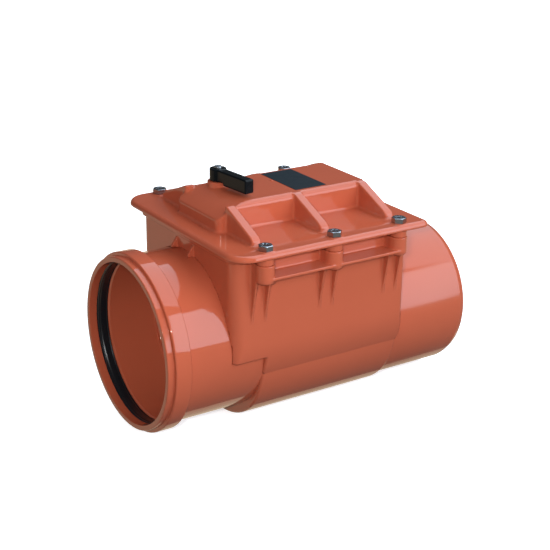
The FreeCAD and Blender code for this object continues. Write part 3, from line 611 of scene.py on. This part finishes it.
# %% The raised middle and its ribs
DOME_FRONT = 7.0
DOME_REAR = 181.4
DOME_HALF = 40.5
DOME_TOP = 137.4
DOME_SLOPE_START = 124.0
DOME_CORNER = 7.0
CREST_ROUNDING = 16.0
EDGE_BEVEL = 4.0
RIB_HEIGHT = DOME_TOP - 1.0
RIB_RUN = 43.5
RIB_FALL = 18.4
RIB_WIDTH = 10.0
RIB_END = 87.0
RIB_END_TOP = 115.0


def dome_field(x, y, z, inset):
    """The raised middle, shrunk by inset for its hollow."""
    corner = DOME_CORNER - 0.8 * inset
    body = plan(x, y, DOME_FRONT + inset, DOME_REAR - inset, DOME_HALF - inset, corner, corner)
    slope = incline(z - DOME_SLOPE_START + inset, x - DOME_FRONT - inset, 14.0, -13.4)
    top = cut_round(z - DOME_TOP + inset, slope, CREST_ROUNDING)
    edge = incline(np.abs(y) - DOME_HALF + inset, z - DOME_TOP + inset + EDGE_BEVEL, 1.0, 1.0)
    return cut_round(body, cut_round(top, edge, 1.5), 1.2)


def rib_field(x, y, z):
    """The six sloping ribs."""
    side = np.abs(y)
    top = incline(z - RIB_HEIGHT, side - DOME_HALF, RIB_RUN, RIB_FALL)
    top = cut_round(top, z - RIB_HEIGHT, 0.5)
    toe = incline(side - RIB_END, z - RIB_END_TOP, 1.0, 1.0)
    side_view = cut_round(cut_round(top, toe, 1.5), side - RIB_END, 1.5)
    side_view = np.maximum(np.maximum(side_view, 106.0 - z), DOME_HALF - 3.0 - side)
    return cut_round(side_view, near_screw(x) - RIB_WIDTH / 2, 1.6)


# %% The inspection cover
COVER_FRONT = -16.5
COVER_REAR = 207.5
COVER_HALF = 113.0
COVER_BOTTOM = 105.0
COVER_TOP = 111.0
COVER_WALL = 4.0
PAD_RADIUS = 8.4
SCREW_HOLE = 4.45
HEAD_SEAT = 111.4
BEARING_RADIUS = 10.7
BEARING_TOP = 142.2
BEARING_BOTTOM = 112.0
SHAFT_HOLE = 6.1


def cover_field(x, y, z):
    flange = plan(x, y, COVER_FRONT, COVER_REAR, COVER_HALF, 23.0, 7.0)
    flange = cut_round(cut_round(flange, z - COVER_TOP, 4.6), COVER_BOTTOM - z, 1.0)
    beside = np.hypot(near_screw(x), np.abs(y) - SCREW_Y)
    pads = cut_round(beside - PAD_RADIUS, slab(z, BOSS_TOP, HEAD_SEAT), 0.7)
    body = join_round(flange, pads, 0.5)
    raised = np.maximum(dome_field(x, y, z, 0.0), COVER_BOTTOM + 0.5 - z)
    ribs = np.maximum(rib_field(x, y, z), COVER_BOTTOM + 0.5 - z)
    body = join_round(body, join_round(raised, ribs, 2.4), 2.6)
    bearing = post(x, y, LEVER_X, LEVER_Y, BEARING_RADIUS)
    body = join_round(body, cut_round(bearing, slab(z, 130.0, BEARING_TOP), 0.9), 1.2)
    body = np.maximum(body, -np.maximum(dome_field(x, y, z, COVER_WALL), COVER_BOTTOM - 1.0 - z))
    body = np.minimum(body, cut_round(bearing, slab(z, BEARING_BOTTOM, 136.0), 0.9))
    body = np.maximum(body, SCREW_HOLE - beside)
    return np.maximum(body, -post(x, y, LEVER_X, LEVER_Y, SHAFT_HOLE))


cover_lines = (graded(-19.0, 210.0, 1.9, 1.3, [(-19.0, 26.0), (34.0, 56.0), (92.0, 106.0),
                                              (168.0, 210.0)]),
               even(-115.5, 115.5, 1.45),
               graded(95.5, 144.5, 1.25, 1.0, [(104.0, 113.0), (132.0, 144.5)]))
cover = shell("inspection_cover", cover_field, cover_lines, pvc)
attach(cover, "valve_body")
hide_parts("cover")


# %% [markdown]
# ## Turned shapes
#
# The socket, the spigot and the rubber ring are round. Each is a half section swept round
# the pipe's axis, which gives a clean ring of faces and exact circles. A Screw modifier
# would sweep as well, but the nozzle's slanted end needs each point moved by its height.
# `softened` gives every corner of the section a small radius.

# %% Sweeping a section
def softened(points):
    """The closed section through (x, radius, corner radius) points, with its corners rounded."""
    made = []
    for index, (x, r, corner) in enumerate(points):
        here = np.array((x, r))
        before = np.array(points[index - 1][:2]) - here
        after = np.array(points[(index + 1) % len(points)][:2]) - here
        if corner == 0.0:
            made.append(here)
            continue
        unit_before = before / np.linalg.norm(before)
        unit_after = after / np.linalg.norm(after)
        half_angle = math.acos(np.clip(unit_before @ unit_after, -1.0, 1.0)) / 2
        reach = corner / math.tan(half_angle)
        start = here + unit_before * reach
        end = here + unit_after * reach
        for share in (0.0, 0.2, 0.4, 0.6, 0.8, 1.0):
            made.append((1 - share) ** 2 * start + 2 * share * (1 - share) * here + share ** 2 * end)
    return np.array(made)


def swept(name, section, material, axis_z=0.0, segments=224, shift=None):
    """The section swept round a line along X at height axis_z."""
    turns = np.arange(segments) * 2 * math.pi / segments
    x = np.repeat(section[:, 0][:, None], segments, axis=1)
    y = section[:, 1][:, None] * np.sin(turns)
    z = section[:, 1][:, None] * np.cos(turns)
    if shift is not None:
        x = shift(x, z)
    corners = np.stack([x, y, z + axis_z], axis=2).reshape(-1, 3)
    rows = np.arange(len(section))
    following = (rows + 1) % len(section)
    columns = np.arange(segments)
    beside = (columns + 1) % segments
    a = rows[:, None] * segments + columns
    b = following[:, None] * segments + columns
    c = following[:, None] * segments + beside
    d = rows[:, None] * segments + beside
    quads = np.stack([a, b, c, d], axis=2).reshape(-1, 4)
    made = mesh_object(name, corners, quads, material)
    made.data.set_sharp_from_angle(angle=math.radians(35.0))
    print(name, "faces:", len(quads))
    return made


# %% [markdown]
# ## The inlet socket
#
# The inlet pipe pushes into the socket up to a stop. A bead near the mouth holds the
# rubber ring, with a narrow lip in front of it. Inside the chamber the same moulding goes
# on as a nozzle, cut at a slant to make the seat that the flap closes on. All of it is one
# section, so that the shell is closed, and a shift along X cuts the slant.

# %% The inlet socket
MOUTH = -74.0
LIP_BORE = 81.1
LIP_RADIUS = 86.6
BEAD_FRONT = -67.3
BEAD_REAR = -50.5
BEAD_RADIUS = 90.2
GROOVE_FRONT = -65.3
GROOVE_REAR = -52.5
GROOVE_RADIUS = 86.2
BORE = 80.4
SLEEVE_END = BELLY_FRONT + WALL
SLEEVE_STEP = 34.0
NOZZLE_END = 120.0
NOZZLE_RADIUS = 80.5
NOZZLE_BORE = 76.0
SEAT_X = 40.0
SEAT_TILT = math.tan(math.radians(10.0))
socket_points = [
    (MOUTH, LIP_BORE, 0.9), (MOUTH, LIP_RADIUS, 1.2),
    (BEAD_FRONT, LIP_RADIUS, 0.8), (BEAD_FRONT, BEAD_RADIUS, 1.5),
    (BEAD_REAR, BEAD_RADIUS, 1.0), (BEAD_REAR, SOCKET_RADIUS, 0.8),
    (SLEEVE_END, SOCKET_RADIUS, 0.5), (SLEEVE_END, NOZZLE_RADIUS, 0.0),
    (NOZZLE_END, NOZZLE_RADIUS, 0.0), (NOZZLE_END, NOZZLE_BORE, 0.0),
    (0.0, NOZZLE_BORE, 0.8), (0.0, BORE, 0.5),
    (GROOVE_REAR + 1.5, BORE, 0.8), (GROOVE_REAR, BORE + 1.5, 0.5),
    (GROOVE_REAR, GROOVE_RADIUS, 0.3), (GROOVE_FRONT, GROOVE_RADIUS, 0.3),
    (GROOVE_FRONT, LIP_BORE, 0.6),
]


def seat_shift(x, z):
    """Ends the sleeve at the front wall above, and the nozzle at the slanted seat."""
    sleeve = (x > 30.0) & (x < SEAT_X) & (z > FRONT_WALL_BOTTOM + WALL)
    x = np.where(sleeve, x - SLEEVE_STEP, x)
    return np.where(x > 100.0, SEAT_X - z * SEAT_TILT, x)


socket = swept("inlet_socket_turned", softened(socket_points), pvc, shift=seat_shift)
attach(socket, "valve_body")
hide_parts("inlet_socket")


# %% [markdown]
# ## The outlet spigot
#
# The plain pipe end is glued into the belly. Its tip is bevelled so that it slides under
# the next socket's rubber ring. A plain tube would give the outline, but the bevel and the
# small step at the belly catch the light, so both are in the section.

# %% The outlet spigot
PIPE_RADIUS = 80.0
PIPE_BORE = 75.3
GLUED_RADIUS = 78.45
SPIGOT_START = 174.0
BELLY_FACE = 196.05
TIP = 291.3
spigot_points = [
    (SPIGOT_START, PIPE_BORE, 0.0), (SPIGOT_START, GLUED_RADIUS - 1.0, 0.0),
    (SPIGOT_START + 1.0, GLUED_RADIUS, 0.0), (BELLY_FACE, GLUED_RADIUS, 0.0),
    (BELLY_FACE, PIPE_RADIUS, 0.3), (TIP - 6.0, PIPE_RADIUS, 1.5),
    (TIP, PIPE_RADIUS - 2.3, 0.7), (TIP, PIPE_BORE, 0.7),
]
spigot = swept("outlet_spigot_turned", softened(spigot_points), pipe_pvc, axis_z=OUTLET_Z)
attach(spigot, "valve_body")
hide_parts("outlet_spigot")


# %% [markdown]
# ## The socket's rubber ring
#
# The ring lies in the bead. A thick heel holds it there, and soft ridges wipe the pipe. A
# torus would be quicker, but the ridges draw the fine lines of light round the mouth.

# %% The rubber ring
RING_FRONT = -64.9
RING_REAR = -52.9
HEEL = 86.0
RIDGE = 80.7
seal_points = [
    (RING_FRONT, HEEL, 0.4), (RING_FRONT, 82.4, 0.8), (-63.4, 80.9, 0.6), (-62.3, 81.2, 0.4),
    (-61.2, RIDGE, 1.5), (-56.2, RIDGE, 1.5), (-55.0, 81.3, 0.5), (-53.9, 80.9, 0.5),
    (RING_REAR, 81.6, 0.5), (RING_REAR, HEEL, 0.4),
]
seal = swept("socket_rubber_ring", softened(seal_points)[::-1], rubber)
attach(seal, "valve_body")
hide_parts("socket_seal")


# %% [markdown]
# ## The cover screws
#
# The head of an M8 screw is cold-formed: a hexagon with a domed crown and a pressed cross
# recess. A cylinder with a bevel would lose both, so one screw is made as a field, on a
# finer grid than the mouldings.

# %% One screw
ACROSS_FLATS = 13.0
HEAD_HEIGHT = 5.3
CROWN_RADIUS = 6.6
SHANK_RADIUS = 4.0
SHANK_LENGTH = 26.0


def hexagon(x, y, flat):
    """The distance from a hexagon of this width across its flats, with a corner along X."""
    far = np.abs(y)
    for angle in (30.0, 150.0):
        turned = math.radians(angle)
        far = np.maximum(far, np.abs(x * math.cos(turned) + y * math.sin(turned)))
    return far - flat / 2


def recess(x, y, z, top, depth, arm, width):
    """A cross recess whose arms taper inward as they go down."""
    taper = (top - z) * 0.25
    one = np.maximum(np.abs(x) - arm + taper, np.abs(y) - width / 2)
    two = np.maximum(np.abs(y) - arm + taper, np.abs(x) - width / 2)
    return np.maximum(np.minimum(one, two), top - depth - z)


def screw_field(x, y, z):
    out = np.hypot(x, y)
    crown = incline(out - CROWN_RADIUS, z - HEAD_HEIGHT, 1.0, 1.732)
    crown = cut_round(crown, z - HEAD_HEIGHT, 0.5)
    head = cut_round(cut_round(hexagon(x, y, ACROSS_FLATS), crown, 0.35), -z, 0.3)
    cross = recess(x, y, z, HEAD_HEIGHT, depth=2.4, arm=3.6, width=1.5)
    head = cut_round(head, -cross, 0.25)
    shank = cut_round(out - SHANK_RADIUS, -SHANK_LENGTH - z, 0.8)
    return join_round(head, np.maximum(shank, z - 1.0), 0.3)


screw_lines = (even(-8.4, 8.4, 0.42), even(-8.4, 8.4, 0.42),
               graded(-27.0, 6.4, 1.6, 0.4, [(-0.8, 6.4)]))
screw = shell("one_cover_screw", screw_field, screw_lines, zinc)


# %% [markdown]
# The six screws are alike, so a Geometry Nodes tree sets the one on six points. Six linked
# copies would be as quick, but the points also carry a turn, because no two screws stop at
# the same angle. The result is made one plain mesh, which the export can take.

# %% Copies on points
def repeated(name, prototype, spots, turns, material):
    """Copies of the prototype at the spots, in millimetres, made by Geometry Nodes."""
    mesh = bpy.data.meshes.new(name)
    mesh.from_pydata([[v / 1000.0 for v in spot] for spot in spots], [], [])
    attribute = mesh.attributes.new("turn", "FLOAT", "POINT")
    attribute.data.foreach_set("value", turns)
    carrier = bpy.data.objects.new(name, mesh)
    bpy.context.scene.collection.objects.link(carrier)
    tree = bpy.data.node_groups.new(name, "GeometryNodeTree")
    socket_of = tree.interface.new_socket
    socket_of("Geometry", in_out="INPUT", socket_type="NodeSocketGeometry")
    piece = socket_of("Piece", in_out="INPUT", socket_type="NodeSocketObject")
    finish = socket_of("Finish", in_out="INPUT", socket_type="NodeSocketMaterial")
    socket_of("Geometry", in_out="OUTPUT", socket_type="NodeSocketGeometry")
    add = tree.nodes.new
    join = tree.links.new
    start = add("NodeGroupInput")
    info = add("GeometryNodeObjectInfo")
    named = add("GeometryNodeInputNamedAttribute")
    named.data_type = "FLOAT"
    named.inputs["Name"].default_value = "turn"
    around = add("ShaderNodeCombineXYZ")
    place = add("GeometryNodeInstanceOnPoints")
    real = add("GeometryNodeRealizeInstances")
    painted = add("GeometryNodeSetMaterial")
    end = add("NodeGroupOutput")
    join(start.outputs["Piece"], info.inputs["Object"])
    join(start.outputs["Geometry"], place.inputs["Points"])
    join(info.outputs["Geometry"], place.inputs["Instance"])
    join(named.outputs["Attribute"], around.inputs["Z"])
    join(around.outputs[0], place.inputs["Rotation"])
    join(place.outputs["Instances"], real.inputs["Geometry"])
    join(real.outputs["Geometry"], painted.inputs["Geometry"])
    join(start.outputs["Finish"], painted.inputs["Material"])
    join(painted.outputs["Geometry"], end.inputs[0])
    modifier = carrier.modifiers.new("copies", "NODES")
    modifier.node_group = tree
    modifier[piece.identifier] = prototype
    modifier[finish.identifier] = material
    bpy.context.view_layer.update()
    graph = bpy.context.evaluated_depsgraph_get()
    solid = bpy.data.meshes.new_from_object(carrier.evaluated_get(graph))
    solid.name = name
    bpy.data.objects.remove(carrier)
    bpy.data.objects.remove(prototype)
    made = bpy.data.objects.new(name, solid)
    bpy.context.scene.collection.objects.link(made)
    print(name, "faces:", len(solid.polygons))
    return made


# %% Six screws
screw_spots = [(x, side * SCREW_Y, HEAD_SEAT) for side in (-1, 1) for x in SCREW_X]
screw_turns = [0.1, -0.25, 0.35, -0.12, 0.2, 0.05]
screws = repeated("cover_screw_set", screw, screw_spots, screw_turns, zinc)
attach(screws, "valve_body")
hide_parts("cover_screws")


# %% [markdown]
# ## The lock lever
#
# The lever is a black plastic moulding pressed on the shaft's square and held by a screw.
# Turned by a quarter it puts a finger over the flap's toe and locks the valve shut. Its
# arm is thinner over the bearing than at the grip. Two blocks and a round hub, joined as
# fields, give that with the moulding's soft edges.

# %% The lever
LEVER_TURN = math.radians(6.0)
ARM_HALF = 5.3
ARM_LENGTH = 51.0
ARM_BOTTOM = LEVER_FOOT + 0.5
ARM_TOP = 154.6
GRIP_START = 14.0
GRIP_BOTTOM = 140.4
HUB_RADIUS = 8.5
HUB_TOP = 154.9
SQUARE_HALF = 4.05
SQUARE_TOP = 150.5
BOLT_HOLE = 2.9


def lever_frame(x, y):
    """Across and outward along the arm, from the lever's axis."""
    dx = x - LEVER_X
    dy = y - LEVER_Y
    sideways = dx * math.cos(LEVER_TURN) + dy * math.sin(LEVER_TURN)
    outward = dx * math.sin(LEVER_TURN) - dy * math.cos(LEVER_TURN)
    return sideways, outward


def lever_block(sideways, outward, z, start, bottom):
    ends = cut_round(np.abs(sideways) - ARM_HALF, slab(outward, start, ARM_LENGTH), 1.5)
    return cut_round(ends, slab(z, bottom, ARM_TOP), 1.5)


def lever_field(x, y, z):
    sideways, outward = lever_frame(x, y)
    arm = np.minimum(lever_block(sideways, outward, z, 0.0, ARM_BOTTOM),
                     lever_block(sideways, outward, z, GRIP_START, GRIP_BOTTOM))
    out = np.hypot(sideways, outward)
    hub = cut_round(out - HUB_RADIUS, slab(z, ARM_BOTTOM, HUB_TOP), 0.9)
    body = join_round(arm, hub, 1.2)
    square = np.maximum(np.abs(sideways), np.abs(outward)) - SQUARE_HALF
    body = np.maximum(body, -np.maximum(square, z - SQUARE_TOP))
    return np.maximum(body, BOLT_HOLE - out)


lever_lines = (even(34.5, 55.5, 0.75), even(-30.0, 33.0, 0.75), even(139.0, 156.2, 0.75))
lever = shell("lock_lever_handle", lever_field, lever_lines, lever_plastic)
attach(lever, "lock_lever")
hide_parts("lever_handle")


# %% The lever's screw
BOLT_TOP = 157.3
BOLT_HEAD = 4.2
BOLT_RADIUS = 2.5
BOLT_END = 140.9


def lever_screw_field(x, y, z):
    sideways, outward = lever_frame(x, y)
    out = np.hypot(sideways, outward)
    head = cut_round(out - BOLT_HEAD, slab(z, HUB_TOP, BOLT_TOP), 0.3)
    head = cut_round(head, z - BOLT_TOP, 1.4)
    cross = recess(sideways, outward, z, BOLT_TOP, depth=1.2, arm=2.2, width=1.05)
    head = np.maximum(head, -cross)
    return np.minimum(head, cut_round(out - BOLT_RADIUS, slab(z, BOLT_END, 155.5), 0.3))


bolt_lines = (even(39.9, 49.5, 0.3), even(18.1, 27.7, 0.3),
              graded(140.0, 158.0, 1.2, 0.28, [(154.0, 158.0)]))
bolt = shell("lever_hub_screw", lever_screw_field, bolt_lines, zinc)
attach(bolt, "lock_lever")
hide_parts("lever_screw")


# %% [markdown]
# ## The label and the pip
#
# A thin dark label is stuck on the raised middle, and a small moulded pip stands in front
# of it. A flat face painted dark would do from far away, but the film's thin edge shows
# close up, so the label is a plate of 0.4 mm with its edge rounded.

# %% The label and the pip
LABEL_FRONT = 101.0
LABEL_REAR = 138.0
LABEL_HALF = 32.0
LABEL_THICKNESS = 0.4
PIP_X = 98.0
PIP_Y = 7.0
PIP_RADIUS = 1.3
PIP_TOP = 138.3


def label_field(x, y, z):
    outline = plan(x, y, LABEL_FRONT, LABEL_REAR, LABEL_HALF, 1.0, 1.0)
    return cut_round(outline, slab(z, DOME_TOP, DOME_TOP + LABEL_THICKNESS), 0.12)


def pip_field(x, y, z):
    return cut_round(post(x, y, PIP_X, PIP_Y, PIP_RADIUS), slab(z, 136.8, PIP_TOP), 0.4)


label_lines = (even(99.5, 139.5, 0.9), even(-33.5, 33.5, 0.9), even(137.1, 138.1, 0.13))
label = shell("bare_label", label_field, label_lines, label_film)
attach(label, "valve_body")
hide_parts("blank_label")
pip_lines = (even(96.0, 100.0, 0.25), even(5.0, 9.0, 0.25), even(136.3, 138.9, 0.2))
pip = shell("cover_pip", pip_field, pip_lines, pvc)
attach(pip, "valve_body")


# %% [markdown]
# ## The floor
#
# The valve stands on a pale floor that fades into a white surround. The glossy pipes
# mirror a beige table under them, which ends just in front. A real table would be in the
# picture, so the floor glows beige for mirror rays only and white for the camera.

# %% The floor
FLOOR_Z = -0.0961
FLOOR_REACH = 6.0
TABLE_EDGE_Y = -0.05
WHITE_START = 0.4
TABLE_GLOW = (0.74, 0.57, 0.4, 1)
FRONT_GLOW = (0.15, 0.13, 0.11, 1)
floor_mesh = bpy.data.meshes.new("floor")
floor_mesh.from_pydata([(x * FLOOR_REACH, y * FLOOR_REACH, FLOOR_Z)
                        for x, y in ((-1, -1), (1, -1), (1, 1), (-1, 1))], [], [(0, 1, 2, 3)])
floor = bpy.data.objects.new("floor", floor_mesh)
bpy.context.scene.collection.objects.link(floor)
floor_finish = Finish("floor_white")
rays = floor_finish.add("ShaderNodeLightPath", {}, {})
seen_by_camera = rays.outputs["Is Camera Ray"]
tone = floor_finish.grain(300.0)
seen_tone = floor_finish.blend(tone, (0.94, 0.94, 0.94, 1), (0.96, 0.96, 0.96, 1))
floor_colour = floor_finish.blend(seen_by_camera, (0.07, 0.06, 0.05, 1), seen_tone)
parts = floor_finish.add("ShaderNodeSeparateXYZ", {}, {"Vector": floor_finish.place})
table = Value(floor_finish, parts.outputs["Y"]) > TABLE_EDGE_Y
mirrored_glow = floor_finish.blend(table, FRONT_GLOW, TABLE_GLOW)
unseen_glow = floor_finish.blend(rays.outputs["Is Glossy Ray"], (0, 0, 0, 1), mirrored_glow)
length = floor_finish.add("ShaderNodeVectorMath", {"operation": "LENGTH"},
                          {"Vector": floor_finish.place})
distance = Value(floor_finish, length.outputs["Value"])
seen_glow = floor_finish.blend(distance - WHITE_START, (0.65, 0.65, 0.65, 1), (1.2, 1.2, 1.2, 1))
glow = floor_finish.blend(seen_by_camera, unseen_glow, seen_glow)
floor_mesh.materials.append(floor_finish.surface({
    "Base Color": floor_colour, "Roughness": 0.9, "Specular IOR Level": 0.0,
    "Emission Color": glow, "Emission Strength": 1.0}))
print("Floor, m:", 2 * FLOOR_REACH)


# %% [markdown]
# ## The lights
#
# Two large soft lights give the broad reflections with clear edges on the glossy pipes,
# one above and behind the right side, one lower down. A picture of a studio round the
# scene would do the same, but two rectangles can be set to the reflections' edges one by
# one. Two more soft lights aren't mirrored: they only brighten the near and the far side.
# A flash beside the camera makes the small white glints.

# %% The lights
MIDDLE = Vector((0.09, 0.0, 0.03))
FLASH_SIDE = -0.065
FLASH_HEIGHT = 0.035


def soft_light(name, azimuth, elevation, distance, width, height, radiance, roll=0.0):
    """A rectangular, slightly blue light that faces the valve from this direction."""
    data = bpy.data.lights.new(name, "AREA")
    data.shape = "RECTANGLE"
    data.size = width
    data.size_y = height
    data.energy = radiance * math.pi * width * height
    data.color = (0.77, 0.88, 1.0)
    made = bpy.data.objects.new(name, data)
    away = direction(azimuth, elevation)
    made.location = MIDDLE + away * distance
    made.rotation_euler = away.to_track_quat("Z", "Y").to_euler()
    made.rotation_euler.rotate_axis("Z", math.radians(roll))
    bpy.context.scene.collection.objects.link(made)
    return made


soft_light("upper_light", 96.0, 60.0, 1.6, 2.08, 1.6, 2.25)
soft_light("side_light", 33.5, 19.5, 1.8, 1.12, 1.42, 3.7, roll=-18.0)
near_fill = soft_light("near_fill", 5.0, 24.0, 1.8, 1.0, 1.0, 3.8)
near_fill.visible_glossy = False
rear_fill = soft_light("rear_fill", 165.0, 15.0, 1.8, 1.2, 1.0, 3.0)
rear_fill.visible_glossy = False
flash_data = bpy.data.lights.new("camera_flash", "AREA")
flash_data.shape = "DISK"
flash_data.size = 0.05
flash_data.energy = 8.0
flash = bpy.data.objects.new("camera_flash", flash_data)
flash.matrix_world = camera.matrix_world.copy()
flash.location = camera.location + FLASH_SIDE * across + FLASH_HEIGHT * tilted_up
bpy.context.scene.collection.objects.link(flash)
print("Lights:", len(bpy.data.lights))


# %% [markdown]
# The surround is white to the camera, a modest grey in reflections, and dim as a light, so
# that the soft lights keep their shape on the gloss. One Background node can't tell these
# apart, so three are mixed by the kind of ray.

# %% The surround
world = bpy.data.worlds.new("surround")
bpy.context.scene.world = world
world.use_nodes = True
world.node_tree.nodes.clear()
add_node = world.node_tree.nodes.new
connect = world.node_tree.links.new


def background(colour, strength):
    node = add_node("ShaderNodeBackground")
    node.inputs["Color"].default_value = colour
    node.inputs["Strength"].default_value = strength
    return node


def mixed(share, first, second):
    node = add_node("ShaderNodeMixShader")
    connect(share, node.inputs[0])
    connect(first.outputs[0], node.inputs[1])
    connect(second.outputs[0], node.inputs[2])
    return node


world_rays = add_node("ShaderNodeLightPath").outputs
seen = background((1, 1, 1, 1), 1.0)
glossy = background((0.9, 0.95, 1, 1), 0.09)
plain = background((1, 1, 1, 1), 0.14)
unseen = mixed(world_rays["Is Glossy Ray"], plain, glossy)
surround = mixed(world_rays["Is Camera Ray"], unseen, seen)
connect(surround.outputs[0], add_node("ShaderNodeOutputWorld").inputs[0])
bpy.context.scene.view_settings.view_transform = "Standard"
print("Surround nodes:", len(world.node_tree.nodes))
